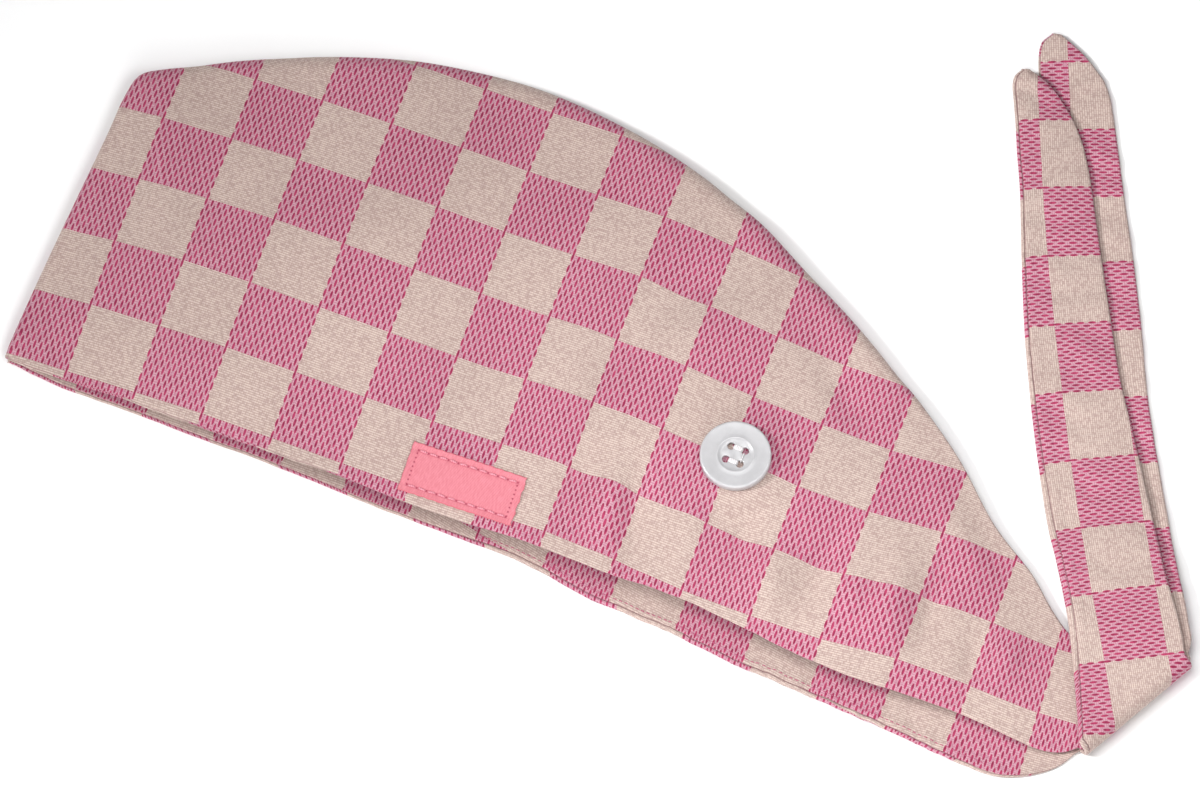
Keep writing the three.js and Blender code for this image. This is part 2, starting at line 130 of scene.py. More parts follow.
LEFT_TIE_ROWS = (
    (364.6, 15, 388.9, 47.8, 5),
    (360.2, 27, 386.1, 52.6, 4.9),
    (355.6, 38, 382.3, 59.2, 4.6),
    (350.8, 48, 377.8, 66.3, 3.6),
    (345, 60.5, 371.5, 76.6, 2.2),
    (338.6, 73.5, 364.9, 88, 1.2),
    (327.6, 97, 352.7, 109, 0.8),
    (319.2, 113.5, 344.6, 123.9, 0.8),
    (310.6, 131, 335, 143.8, 0.8),
    (301.3, 151, 325.1, 163, 0.8),
    (291.5, 173.5, 314.7, 182, 0.8),
    (283, 192.5, 306.2, 198.1, 0.8),
    (277.4, 204.5, 300.1, 209.3, 0.8),
    (273.4, 212.5, 295.6, 216.2, 0.8),
    (271, 218.5, 290, 220.8, 0.8),
    (270.3, 223.2, 283.5, 224.5, 0.8),
    (272.2, 226.8, 276.1, 227.5, 0.8),
)

# Soft ridges and dents that show in the upper half: middle, run direction, half length, half width, height
LEFT_FOLDS = (
    (60, 62, 30, 40, 16, 1.1),
    (110, 95, 60, 40, 16, 1.1),
    (150, 60, 75, 30, 11, -1.1),
    (200, 20, 100, 14, 4.5, 3.1),
    (187, 27, 92, 20, 6, -2.5),
    (211, 14, 104, 14, 4.5, -2.8),
    (227, 19, 97, 16, 5.5, 2.7),
    (198, 97, 56, 20, 8, -2.5),
    (184, 66, 83, 16, 7, -2.2),
    (206, 122, 118, 14, 6, -1.7),
    (244, 24, 92, 12, 4.5, -2.0),
    (257, 15, 97, 11, 4.5, 2.2),
    (270, 24, 84, 18, 5.5, -2.8),
    (252, 90, 135, 18, 7, -2.0),
    (284, 20, 92, 10, 4.5, 1.7),
    (295, 26, 92, 15, 5.5, 2.5),
    (308, 24, 93, 12, 4.5, -2.2),
    (326, 16, 94, 9, 4, -1.7),
    (337, 20, 90, 8, 3.5, 1.4),
    (310, 52, 128, 20, 7, 1.4),
)
FOLD_FADE = {"at_hem": 0.45, "rise": 2.5, "fall": 5, "swell": 0.6}  # folds are weaker near both edges
CLOTH_WAVES = {"along": 17, "up": 21, "seed": 3.1, "height": 0.14, "middle": 0.6}
HEM_RIPPLES = {"start": 205, "full": 235, "fade": 328, "end": 348, "spacing": 8.2, "waver": 1.1,
               "height": 0.75, "reach": 13}
TIE_PUCKERS = {"start": 25, "full": 55, "spacing": 13.5, "waver": 0.9, "height": 0.6,
               "direction": (-0.43, 0.90)}
TIE_CROWN = {"left": 0.3, "right": 0.9}  # how far a tie stands up along its middle
CROWN_POWER = 0.7
HEM_WOBBLE = {"amount": 0.22, "spacing": 7.5, "seed": 0.7, "layer": {"left": 0.0, "right": 40.0}}

# Each half as it was cut: the box round it and its area, in metres
HALF_SIZES = {
    "left": {"flat": (0.62, 0.15), "area": 0.049},
    "right": {"flat": (0.62, 0.16), "area": 0.051},
}

# Mesh steps
STATION_STEP = 2.6  # along the outline
CREASE_STEPS = 18
ACROSS_STEPS = 46  # between the two turned edges
CURVE_SAMPLES = 80
ARC_STEPS = 24  # round a sewn edge
SHORTEST_ARC = 0.05
EDGE_SQUARE = 9  # a ruling turns square to a sewn edge this far before it
HEM_ZONE = 5.0  # the cloth near the hem has its own steps
EDGE_ZONE = 3.0  # and so has the cloth near the other edge
FACE_STEP = 0.8  # for the direction out of the cloth

# Buttons, one on each half behind the ear
BUTTON = {"x": 232.2, "y": 48.9, "radius": 11.5, "thickness": 3.3, "sides": 96, "smooth_below": 38}
BUTTON_BEVELS = {"face": 0.7, "back": 0.9, "lip": 0.1}
HOLE = {"radius": 1.25, "offset": 2.38, "depth": 6, "bevel": 0.16, "sides": 32, "sharp": 1.2}
MATCH = {"height": 0.02, "radius": 0.05, "hole": 0.03}  # how near an edge of the button has to lie
# Face of a button from the rim inwards: radius of the ring, step up
BUTTON_FACE = (
    (10.7, 0.0), (10.1, -0.1), (7.4, -0.1), (6.25, 0.0), (5.95, 0.12), (5.65, -0.12), (5.3, -0.22),
    (4.85, -0.16),
)
BUTTON_LIP = 4  # the ring of the face that stands up
BUTTON_HOLLOW = {"rim": 4.2, "slope": 0.9, "depth": 1.5}  # of the back
BUTTON_TOUCH = 0.12  # between a button and its cloth
DRAW = {"depth": 1.3, "inner": 3.8, "outer": 6.8, "flat": 12.5, "free": 21}  # cloth under a button
DIMPLE = {"air": 0.3, "inner": 19, "outer": 36}  # the lower button lifts the half that lies on it

# Thread of a button: from hole, to hole, strands, distance between them, radius of one
THREAD_BARS = (
    ((-1, 1), (1, 1), 4, 0.36, 0.21),
    ((-1, -1), (1, -1), 4, 0.36, 0.21),
    ((1, -1), (1, 1), 1, 0, 0.17),
)
THREAD_PATH = {"below": 0.25, "above": 0.12, "arch": 0.22, "lower": 0.1, "steps": 20, "inset": 0.92,
               "close": 0.75, "spread": 0.35, "over_from": 0.16, "over_to": 0.84, "rise": 0.2}

# Woven label on the upper half, just above the hem
LABEL = {
    "x": 153.7, "y": 9.9, "length": 38.6, "width": 16.6, "angle": 2.2, "thickness": 0.45, "lift": 0.08,
    "border": 2.4, "drawn": 0.16, "drawn_width": 0.7, "curl": 0.25, "rim": 0.14, "columns": 96, "rows": 44,
}
LONG_BORDER = LABEL["width"] / 2 - LABEL["border"]  # sewn lines, from the label's middle
SHORT_BORDER = LABEL["length"] / 2 - LABEL["border"]
LABEL_STITCHES = {"count": 10, "pitch": 3.35, "length": 2.3, "radius": 0.36, "lean": 0.14, "lean_step": 3.7}
LABEL_ENDS = {"from": 0.9, "slope": 10, "wave": 0.13, "wave_change": 0.07, "spacing": 4.6, "shift": 1.1,
              "fine": 0.4, "fine_step": 3.1, "inset": 0.24}
LABEL_SIDES = {"from": 0.8, "slope": 5, "wave": 0.09, "spacing": 3.3}

# Small stitches beside the hem of the lower half
HEM_STITCHES = {"start": 166, "end": 342, "pitch": 1.95, "length": 1.35, "radius": 0.16, "from_hem": 3.1,
                "drift": 0.18, "drift_length": 6, "seeds": (0.4, 8.1)}

# One stitch: place along its half length, lift and radius as shares of the yarn's radius
STITCH_SHAPE = np.array([
    (-1, -0.6, 0.35), (-0.8, 0.15, 0.8), (-0.35, 0.6, 1), (0.35, 0.6, 1), (0.8, 0.15, 0.8), (1, -0.6, 0.35),
])
TUBE_REFERENCE = np.array([0.31, 0.17, 0.94])  # a direction in which no thread runs

button_low, button_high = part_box("button_left")
ORIGIN = np.array([
    BUTTON["x"] - (button_low.x + button_high.x) / 2 / MM,
    BUTTON["y"] - (button_low.y + button_high.y) / 2 / MM,
    0.0,
])


def mix(a, b, t):
    return a + (b - a) * t


def smooth(t):
    t = np.clip(t, 0, 1)
    return t * t * (3 - 2 * t)


def ramp(value, start, end):
    """0 at the start and 1 at the end, smooth between."""
    return smooth((value - start) / (end - start))


def ripple(turns):
    return 0.5 + 0.5 * np.sin(2 * math.pi * turns)


def unit(v):
    return v / np.maximum(np.linalg.norm(v, axis=-1, keepdims=True), 1e-9)


def in_frame(points):
    """Millimetres from the hem corner to metres in the frame."""
    return (np.asarray(points, float) - ORIGIN) * MM


def run_lengths(points):
    """Distance of each point from the first, along the line through them."""
    return np.concatenate([[0], np.cumsum(np.linalg.norm(np.diff(points, axis=0), axis=1))])


def columns_at(marks, known, table):
    """Every column of a table, read at marks between the known ones."""
    return np.column_stack([np.interp(marks, known, column) for column in table.T])


def button_distance(x, y):
    return np.hypot(x - BUTTON["x"], y - BUTTON["y"])


# Rulings of one half

def through_rows(rows, edge_columns):
    """Smooth curve through the rows, with a station at least every STATION_STEP along the edge."""
    rows = np.array(rows, float)
    last = len(rows) - 1
    stations = []
    for k in range(last):
        a, b, c, d = rows[max(k - 1, 0)], rows[k], rows[k + 1], rows[min(k + 2, last)]
        steps = max(1, math.ceil(np.linalg.norm((c - b)[list(edge_columns)]) / STATION_STEP))
        for step in range(steps):
            t = step / steps
            slope_b, slope_c = (c - a) / 2, (d - b) / 2
            bend = mix(slope_b - (c - b), c - b - slope_c, t)
            stations.append(mix(b, c, t) + t * (1 - t) * bend)
    stations.append(rows[last])
    return np.array(stations)


# A station: hem x y z, edge x y z, rim, swell, turn
def panel_stations(side):
    rows = []
    for hem_x, left_hem_y, right_hem_y, edge_x, edge_y, hem_z, edge_z, swell, turn in PANEL_ROWS:
        rim = (edge_z - HALF_CLOTH) / 2
        if side == "left":
            rows.append((hem_x, left_hem_y, hem_z, edge_x, edge_y, edge_z, rim, swell, turn))
        else:
            rows.append((hem_x, right_hem_y, HALF_CLOTH, edge_x, edge_y, HALF_CLOTH, rim, 0, turn))
    return rows


def crease_stations(side):
    """The cloth turns over the crease on a half circle."""
    hem, edge = np.array(CREASE["hem"]), np.array(CREASE["edge"])
    along = unit(edge - hem)
    outward = np.array([along[1], -along[0]])
    edge = edge + along * (LEFT_CREASE_EXTRA if side == "left" else 0)
    middle = (LOW_TAIL_Z[side] + HIGH_TAIL_Z[side]) / 2
    radius = (HIGH_TAIL_Z[side] - LOW_TAIL_Z[side]) / 2
    rows = []
    for angle in np.linspace(0, math.pi, CREASE_STEPS + 1):
        out = outward * radius * math.sin(angle)
        z = middle - radius * math.cos(angle)
        rows.append((*(hem + out), z, *(edge + out), z, 1, 0, 0))
    return rows


def tie_stations(side):
    table = LEFT_TIE_ROWS if side == "left" else RIGHT_TIE_ROWS
    return [(hem_x, hem_y, z, edge_x, edge_y, z, 1, 0, 0) for hem_x, hem_y, edge_x, edge_y, z in table]


def stations_of(side):
    """All stations of one half and the index at which the crease starts."""
    crease = crease_stations(side)
    panel = through_rows([*panel_stations(side), crease[0]], (3, 4))
    tie = through_rows([crease[-1], *tie_stations(side)], (3, 4))
    panel[:, 8] = np.clip(panel[:, 8], 0, 1)
    layer, seed = HEM_WOBBLE["layer"][side], HEM_WOBBLE["seed"]
    wobble = [noise.noise(Vector((x / HEM_WOBBLE["spacing"], layer, seed))) for x in panel[:, 0]]
    panel[:, 1] += HEM_WOBBLE["amount"] * np.array(wobble)
    stations = np.vstack([panel[:-1], np.array(crease), tie[1:]])
    return stations, len(panel) - 1


def fold_height(x, y):
    """Height that the soft ridges and dents give at a place."""
    height = np.zeros_like(x)
    for fold_x, fold_y, degrees, length, width, rise in LEFT_FOLDS:
        angle = math.radians(degrees)
        along = (x - fold_x) * math.cos(angle) + (y - fold_y) * math.sin(angle)
        across = (y - fold_y) * math.cos(angle) - (x - fold_x) * math.sin(angle)
        height += rise * np.exp(-((along / length) ** 2) - (across / width) ** 2)
    return height


def dimple_height(x, y):
    """The lower button lifts the half that lies on it."""
    share = ramp(button_distance(x, y), DIMPLE["outer"], DIMPLE["inner"])
    return (BUTTON["thickness"] + DIMPLE["air"]) * share


def under_button(side, x, y, z):
    """The cloth lies flat against the back of the button, and the thread draws it into the hollow."""
    away = button_distance(x, y)
    low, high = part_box(f"button_{side}")
    if side == "left":
        rest, draw = low.z / MM - HALF_PLIES - BUTTON_TOUCH, DRAW["depth"]
    else:
        rest, draw = high.z / MM + HALF_PLIES + BUTTON_TOUCH, -DRAW["depth"]
    z = mix(z, rest, ramp(away, DRAW["free"], DRAW["flat"]))
    return z + draw * ramp(away, DRAW["outer"], DRAW["inner"])


class Half:
    """Middle surface of one half of the cap, and its flat pattern."""

    def __init__(self, side):
        self.side = side
        self.stations, self.crease_start = stations_of(side)
        self.rulings = [self.ruling(k) for k in range(len(self.stations))]
        self.lengths = np.array([ruling["length"] for ruling in self.rulings])
        self.flat_hem, self.flat_edge = self.develop()
        self.outline = self.flat_hem[0, 0] + run_lengths(self.flat_hem)
        self.marks, self.centers = None, None  # cloth_piece lays them

    def ruling(self, index):
        """Points of the middle surface along one ruling, by their distance from the hem."""
        station = self.stations[index]
        before = self.stations[max(index - 1, 0)]
        after = self.stations[min(index + 1, len(self.stations) - 1)]
        hem, edge = station[0:2], station[3:5]
        hem_z, edge_z = station[2], station[5]
        rim, swell, turn = station[6:9]
        straight = unit(edge - hem)
        step = after[3:5] - before[3:5]
        square = unit(np.array([-step[1], step[0]]))
        out = unit(mix(straight, square, turn))
        sweep = turn * math.acos(min(1, SEAM_GAP / 2 / rim))
        leg_end = edge - out * (rim + HALF_CLOTH) * math.sin(sweep)
        guide = leg_end - out * min(EDGE_SQUARE, np.linalg.norm(edge - hem) / 3)
        t = np.linspace(0, 1, CURVE_SAMPLES + 1)[:, None]
        leg = (1 - t) ** 2 * hem + 2 * t * (1 - t) * guide + t ** 2 * leg_end
        marks = run_lengths(leg)
        leg_length = marks[-1]
        share = marks / leg_length
        inner = np.sin(math.pi * share)
        x, y = leg.T
        if self.side == "left":
            fold_share = np.minimum(1, FOLD_FADE["at_hem"] + FOLD_FADE["rise"] * share)
            fold_share = fold_share * np.minimum(1, FOLD_FADE["fall"] * (1 - share))
            relief = fold_height(x, y) * fold_share * smooth(swell / FOLD_FADE["swell"])
        else:
            relief = dimple_height(x, y)
        z = mix(hem_z, edge_z, smooth(share)) + swell * inner + relief
        z = under_button(self.side, x, y, z)
        points = np.column_stack([leg, z])
        flat = leg
        up = 1 if self.side == "left" else -1
        if sweep * rim > SHORTEST_ARC:
            angles = np.linspace(0, sweep, ARC_STEPS + 1)[1:]
            place = leg_end + np.outer(rim * np.sin(angles), out)
            arc_z = edge_z - up * rim + up * rim * np.cos(angles)
            points = np.vstack([points, np.column_stack([place, arc_z])])
            flat = np.vstack([flat, leg_end + np.outer(rim * angles, out)])
            marks = np.concatenate([marks, leg_length + rim * angles])
        return {"points": points, "flat": flat, "marks": marks, "length": marks[-1]}

    def develop(self):
        """Hem and edge ends of each ruling in the flat pattern; the ties are unfolded past the crease."""
        flat_hem = [ruling["flat"][0] for ruling in self.rulings]
        flat_edge = [ruling["flat"][-1] for ruling in self.rulings]
        for k in range(self.crease_start + 1, len(self.stations)):
            hem, edge = self.stations[k - 1][0:3], self.stations[k - 1][3:6]
            along = unit(edge - hem)
            flat_along = unit(flat_edge[k - 1] - flat_hem[k - 1])
            flat_forward = np.array([flat_along[1], -flat_along[0]])
            for points, start in ((flat_hem, 0), (flat_edge, 3)):
                step = self.stations[k][start:start + 3] - hem
                run = step @ along
                aside = np.linalg.norm(step - along * run)
                points[k] = flat_hem[k - 1] + flat_along * run + flat_forward * aside
        return np.array(flat_hem), np.array(flat_edge)

    def sample(self, index, marks):
        """Places on the middle surface at distances from the hem."""
        ruling = self.rulings[index]
        return columns_at(marks, ruling["marks"], ruling["points"])

    def on_cloth(self, along, from_hem):
        """A place on the upper face of the cloth, the direction along the hem and the direction out."""
        spot = np.interp(along, self.outline, np.arange(len(self.outline)))
        k = min(int(spot), len(self.outline) - 2)
        here, further = columns_at((from_hem, from_hem + FACE_STEP), self.marks[k], self.centers[k])
        there = columns_at(from_hem, self.marks[k + 1], self.centers[k + 1])[0]
        ahead = unit(there - here)
        out = unit(np.cross(ahead, further - here))
        return mix(here, there, spot - k) + out * HALF_PLIES, ahead, out

    def pattern(self, index, marks):
        """Places in the flat pattern at distances from the hem, past both ends too."""
        ruling = self.rulings[index]
        if index > self.crease_start:
            share = (marks / ruling["length"])[:, None]
            return mix(self.flat_hem[index], self.flat_edge[index], share)
        flat, known = ruling["flat"], ruling["marks"]
        places = columns_at(np.clip(marks, 0, known[-1]), known, flat)
        places = places + np.outer(np.minimum(marks, 0), unit(flat[1] - flat[0]))
        return places + np.outer(np.maximum(marks - known[-1], 0), unit(flat[-1] - flat[-2]))


# Print of the cloth, laid out in the flat pattern

# A check line runs through these places of the flat pattern, along the hem and on into the tie.
SPINE = (
    (-60, 1.25), (150, 3.35), (330, 5.15), (365, 7.6), (400, 11.3), (425, 13.6), (447.5, 16.0),
    (472.4, 19.0), (494, 22.1), (518, 25.8), (542.7, 30.0), (566, 34.5), (615, 45),
)
SPINE_START_X = -3.4  # the first check starts here
SPINE_ROW = 5  # rows of checks are counted from the crown down, and this one starts at the line
CHECK_LENGTH, CHECK_HEIGHT = 23.56, 22.78
CHECK_SLANT = 0.022  # the columns of checks lean this much

# Where the print leaves its straight rows: column of checks, along the hem, up
DRIFTS = {
    "left_outer": (
        (0, 0.4, -0.2), (1, 0.5, -0.3), (2, 0.4, -0.1), (3, -0.3, 0.2), (4, 0.0, 0.0), (5, 0.6, -0.1),
        (6, 0.0, -0.1), (7, -0.2, 0.5), (8, -1.2, 1.4), (9, -0.6, 0.3), (10, -0.4, -1.5), (11, -0.5, -1.7),
        (12, -0.3, -0.9), (13, 1.0, 1.7), (14, 2.2, 2.0), (15, 2.4, 0.4), (17, 0, 0),
    ),
    "right_lining": (
        (0, 3.4, 28.5), (4, 3.4, 28.5), (5.1, 1.5, 28.5), (6.0, 0.3, 27), (7.1, 0, 21.2), (8.1, 0, 16.4),
        (9.4, 0, 11.4), (11.5, 0, 5), (13, 0, 0),
    ),
}

# Each ply of each half is cut on its own: shift of its print in columns and in rows, and how many
# rows lie in the height of one
PRINTS = {
    "left_outer": (0.0, 0.0, 1.0),
    "left_lining": (1.12, -0.37, 1.0),
    "right_outer": (0.8, 0.0, 1.12),
    "right_lining": (-0.06, 0.9, 1.0),
}


def even_curve(rows, step):
    """Smooth curve through unevenly spaced points, with a point every step."""
    rows = np.array(rows, float)
    last = len(rows) - 1
    places = []
    for k in range(last):
        a, b, c, d = rows[max(k - 1, 0)], rows[k], rows[k + 1], rows[min(k + 2, last)]
        span = np.linalg.norm(c - b)
        slope_b = (c - a) / (span + np.linalg.norm(b - a)) * span
        slope_c = (d - b) / (span + np.linalg.norm(d - c)) * span
        steps = math.ceil(span / step)
        t = np.arange(steps)[:, None] / steps
        places.append(
            (2 * t ** 3 - 3 * t ** 2 + 1) * b + (t ** 3 - 2 * t ** 2 + t) * slope_b
            + (3 * t ** 2 - 2 * t ** 3) * c + (t ** 3 - t ** 2) * slope_c
        )
    return np.vstack([*places, rows[last:]])


class Spine:
    """Distances along and beside the check line of the flat pattern."""

    def __init__(self):
        self.places = even_curve(SPINE, 1.0)
        self.marks = run_lengths(self.places)
        self.directions = unit(np.gradient(self.places, axis=0))
        self.start = np.interp(SPINE_START_X, self.places[:, 0], self.marks)

    def from_line(self, marks, places):
        """From the line's own places to the given ones, and the line's direction there."""
        away = places - columns_at(marks, self.marks, self.places)
        return away, columns_at(marks, self.marks, self.directions)

    def measure(self, places):
        """Distance along the line and distance above it."""
        marks = np.interp(places[:, 0], self.places[:, 0], self.marks)
        for _ in range(4):
            away, direction = self.from_line(marks, places)
            marks = marks + (away * direction).sum(axis=1)
        away, direction = self.from_line(marks, places)
        return marks - self.start, direction[:, 0] * away[:, 1] - direction[:, 1] * away[:, 0]


def print_places(spine, places, name):
    """Column and row of checks, with fractions, at places of the flat pattern."""
    column_shift, row_shift, narrow = PRINTS[name]
    along, above = spine.measure(places)
    column = (along + CHECK_SLANT * above) / CHECK_LENGTH
    if name in DRIFTS:
        drift = np.array(DRIFTS[name])
        drift_along, drift_up = columns_at(column, drift[:, 0], drift[:, 1:]).T
        column, above = column - drift_along / CHECK_LENGTH, above - drift_up
    row = SPINE_ROW - above * narrow / CHECK_HEIGHT
    return np.column_stack([column + column_shift, row + row_shift])


# Cloth meshes

# Distances from the hem and from the other edge at which the cloth is sampled
HEM_MARKS = (1.08, 1.2, 1.32, 1.45, 1.6, 1.8, 2.1, 2.5, 3.0, 3.6, 4.3, 5.0)
EDGE_MARKS = (3.0, 2.2, 1.5)
NOSE_STEPS = 5  # round a quarter of a turned edge
END_STEPS = 4  # round the two ends of the cloth
END_TURN, END_DEPTH = 0.92, 0.7  # shares of a quarter turn and of a turned edge
SEAM_REACH = 6  # the seam line lies nearer to the hem than this

# How far from the very edge the seam line lies, by distance along the outline from the hem corner:
# on the lining side where positive, on the outer side where negative
SEAM_PLACES = {
    "left": (
        (0, -0.75), (90, -0.65), (125, -0.2), (160, 0.1), (300, 0.1), (368, 0.5), (420, 1.0), (700, 1.0),
    ),
    "right": (
        (0, 1.2), (140, 1.2), (175, 2.0), (300, 2.0), (335, 1.6), (368, 0.3), (385, -2.4), (440, -2.9),
        (480, -2.5), (560, -1.8), (700, -1.5),
    ),
}


def center_marks(half, index):
    """Distances from the hem at which one ruling is sampled."""
    total = half.lengths[index]
    turn = half.stations[index][8]
    roll = min(ROLL, 0.3 * total)
    edge_roll = min(mix(ROLL, SEAM_ROLL, turn), 0.3 * total)
    hem_scale = min(1, 0.4 * total / HEM_ZONE)
    edge_scale = min(1, 0.25 * total / EDGE_ZONE)
    hem = [roll] + [roll + (mark - ROLL) * hem_scale for mark in HEM_MARKS]
    edge = [total - edge_roll - (mark - ROLL) * edge_scale for mark in EDGE_MARKS] + [total - edge_roll]
    between = np.linspace(hem[-1], edge[0], ACROSS_STEPS + 1)[1:-1]
    return np.concatenate([hem, between, edge]), roll, edge_roll


def surface_normals(points):
    """Normals of a grid of points."""
    along = np.gradient(points, axis=0, edge_order=2)
    across = np.gradient(points, axis=1, edge_order=2)
    return unit(np.cross(along, across)), unit(across)


def ring_slots(count):
    """One closed section of the cloth: the sample that each point hangs on, its direction from there,
    and its side of the cloth."""
    angles = np.linspace(0, math.pi / 2, NOSE_STEPS + 1)
    slots = [(0, -1.0, 0.0, 1)]
    slots += [(0, -math.cos(a), math.sin(a), 1) for a in angles[1:]]
    slots += [(k, 0.0, 1.0, 1) for k in range(1, count)]
    slots += [(count - 1, math.cos(a), math.sin(a), 1) for a in angles[-2:0:-1]]
    slots += [(count - 1, 1.0, 0.0, 1)]
    slots += [(count - 1, math.cos(a), -math.sin(a), -1) for a in angles[1:]]
    slots += [(k, 0.0, -1.0, -1) for k in range(count - 2, -1, -1)]
    slots += [(0, -math.cos(a), -math.sin(a), -1) for a in angles[-2:0:-1]]
    slots = np.array(slots)
    return slots[:, 0].astype(int), slots[:, 1:3], slots[:, 3]


def cloth_piece(half, spine, name):
    """Closed double-ply cloth of one half, with its print laid on both sides."""
    indices = range(len(half.stations))
    rows = [center_marks(half, index) for index in indices]
    marks, rolls, edge_rolls = (np.array(column) for column in zip(*rows))
    centers = np.array([half.sample(k, marks[k]) for k in indices])
    centers[:, :, 2] += fine_relief(half, centers, marks)
    half.marks, half.centers = marks, centers
    normals, tangents = surface_normals(centers)
    samples, directions, sides = ring_slots(marks.shape[1])

    hem_nose = (samples == 0) & (directions[:, 0] < 0)
    edge_nose = directions[:, 0] > 0
    depth = np.where(hem_nose, rolls[:, None], np.where(edge_nose, edge_rolls[:, None], 0))
    vectors = (
        tangents[:, samples] * (directions[:, 0] * depth)[:, :, None]
        + normals[:, samples] * (directions[:, 1] * HALF_PLIES)[None, :, None]
    )

    # Distance from the hem in the ply's own pattern, turned edges included
    turn_angle = np.arctan2(np.abs(directions[:, 0]), np.abs(directions[:, 1]))
    own_marks = marks[:, samples] + np.where(edge_nose, 1, -1) * depth * turn_angle
    quarter = rolls * math.pi / 2
    beside = own_marks + (quarter - rolls)[:, None]
    other_marks = -own_marks - 2 * (quarter - rolls)[:, None]

    # The seam line, a narrow dip where the two plies meet
    seam_table = np.array(SEAM_PLACES[half.side])
    seam = np.interp(half.outline, seam_table[:, 0], seam_table[:, 1])
    lining_side = -1 if half.side == "left" else 1
    from_apex = beside * sides * lining_side
    near_hem = marks[:, samples] < SEAM_REACH
    dip = SEAM_DIP["depth"] * np.exp(-((from_apex - seam[:, None]) / SEAM_DIP["width"]) ** 2)
    dip = np.where(near_hem, dip, 0)
    vectors *= 1 - (dip / np.linalg.norm(vectors, axis=2))[:, :, None]

    rings = centers[:, samples] + vectors
    is_lining = np.where(near_hem, from_apex > seam[:, None], sides == lining_side)
    maps = {}
    for ply, side in (("outer", -lining_side), ("lining", lining_side)):
        ply_marks = np.where(sides == side, own_marks, other_marks)
        places = np.vstack([half.pattern(k, ply_marks[k]) for k in indices])
        maps[ply] = print_places(spine, places, f"{half.side}_{ply}").reshape(*rings.shape[:2], 2)

    from_seam = np.where(near_hem, from_apex - seam[:, None], SEAM_REACH * lining_side * sides)
    maps["seam"] = np.stack([np.broadcast_to(half.outline[:, None], from_seam.shape), from_seam], axis=-1)
    rings, maps, is_lining = round_ends(rings, centers[:, samples], maps, is_lining)
    return ring_piece(name, rings, maps, is_lining)


def round_ends(rings, middles, maps, is_lining):
    """The two ends of the cloth get a rounded edge."""
    angles = np.linspace(0, math.pi / 2 * END_TURN, END_STEPS + 1)[1:]
    first, last = [], []
    for angle in angles:
        for rows, here, inward in ((first, 0, 1), (last, -1, -2)):
            outward = unit(middles[here] - middles[inward]).mean(axis=0)
            shift = unit(outward) * ROLL * END_DEPTH * math.sin(angle)
            rows.append(middles[here] + (rings[here] - middles[here]) * math.cos(angle) + shift)
    rings = np.concatenate([np.array(first[::-1]), rings, np.array(last)])
    pad = ((END_STEPS, END_STEPS), (0, 0))
    maps = {name: np.pad(values, (*pad, (0, 0)), mode="edge") for name, values in maps.items()}
    return rings, maps, np.pad(is_lining, pad, mode="edge")


def ring_piece(name, rings, maps, is_lining):
    """Piece from closed rings, with a map of the print and a map of the seam line per face corner."""
    stations, slots = rings.shape[:2]
    i, j = np.meshgrid(np.arange(stations - 1), np.arange(slots), indexing="ij")
    after = (j + 1) % slots
    quads = np.stack([i * slots + j, (i + 1) * slots + j, (i + 1) * slots + after, i * slots + after], axis=-1)
    faces = quads.reshape(-1, 4).tolist()
    face_lining = (is_lining[i, j] & is_lining[i, after]).reshape(-1)
    steps = np.arange(slots // 2)
    ladder = np.stack([steps, steps + 1, slots - steps - 1, (slots - steps) % slots], axis=-1)
    for quad in [*ladder.tolist(), *(ladder[:, ::-1] + (stations - 1) * slots).tolist()]:
        faces.append(list(dict.fromkeys(quad)))
    face_lining = np.concatenate([face_lining, np.zeros(2 * len(steps), bool)])
    mesh = new_mesh(name, in_frame(rings.reshape(-1, 3)), faces)
    corners = face_corners(mesh)
    lining = np.repeat(face_lining, [len(face) for face in faces])
    flat = {layer: values.reshape(-1, 2)[corners] for layer, values in maps.items()}
    lay_map(mesh, "print", np.where(lining[:, None], flat["lining"], flat["outer"]))
    lay_map(mesh, "seam", flat["seam"])
    return new_piece(mesh)


def new_mesh(name, corners, faces):
    """Mesh with smooth faces; the corners are in metres."""
    mesh = bpy.data.meshes.new(name)
    mesh.from_pydata(corners.tolist(), [], faces)
    mesh.polygons.foreach_set("use_smooth", np.ones(len(mesh.polygons), bool))
    return mesh


def face_corners(mesh):
    """Number of the vertex at each face corner."""
    corners = np.zeros(len(mesh.loops), int)
    mesh.loops.foreach_get("vertex_index", corners)
    return corners


def lay_map(mesh, layer, places):
    mesh.uv_layers.new(name=layer).data.foreach_set("uv", places.astype(np.float32).ravel())


def new_piece(mesh):
    """Puts a mesh into the scene under its own name, with its faces outward."""
    mesh.update()
    piece = bpy.data.objects.new(mesh.name, mesh)
    bpy.context.scene.collection.objects.link(piece)
    if signed_volume(mesh) < 0:
        mesh.flip_normals()
    return piece


def signed_volume(mesh):
    """Below 0 where the faces look inward."""
    mesh.calc_loop_triangles()
    points = np.zeros(len(mesh.vertices) * 3)
    mesh.vertices.foreach_get("co", points)
    triangles = np.zeros(len(mesh.loop_triangles) * 3, int)
    mesh.loop_triangles.foreach_get("vertices", triangles)
    a, b, c = points.reshape(-1, 3)[triangles.reshape(-1, 3)].transpose(1, 0, 2)
    return float(np.einsum("ij,ij->i", a, np.cross(b, c)).sum() / 6)


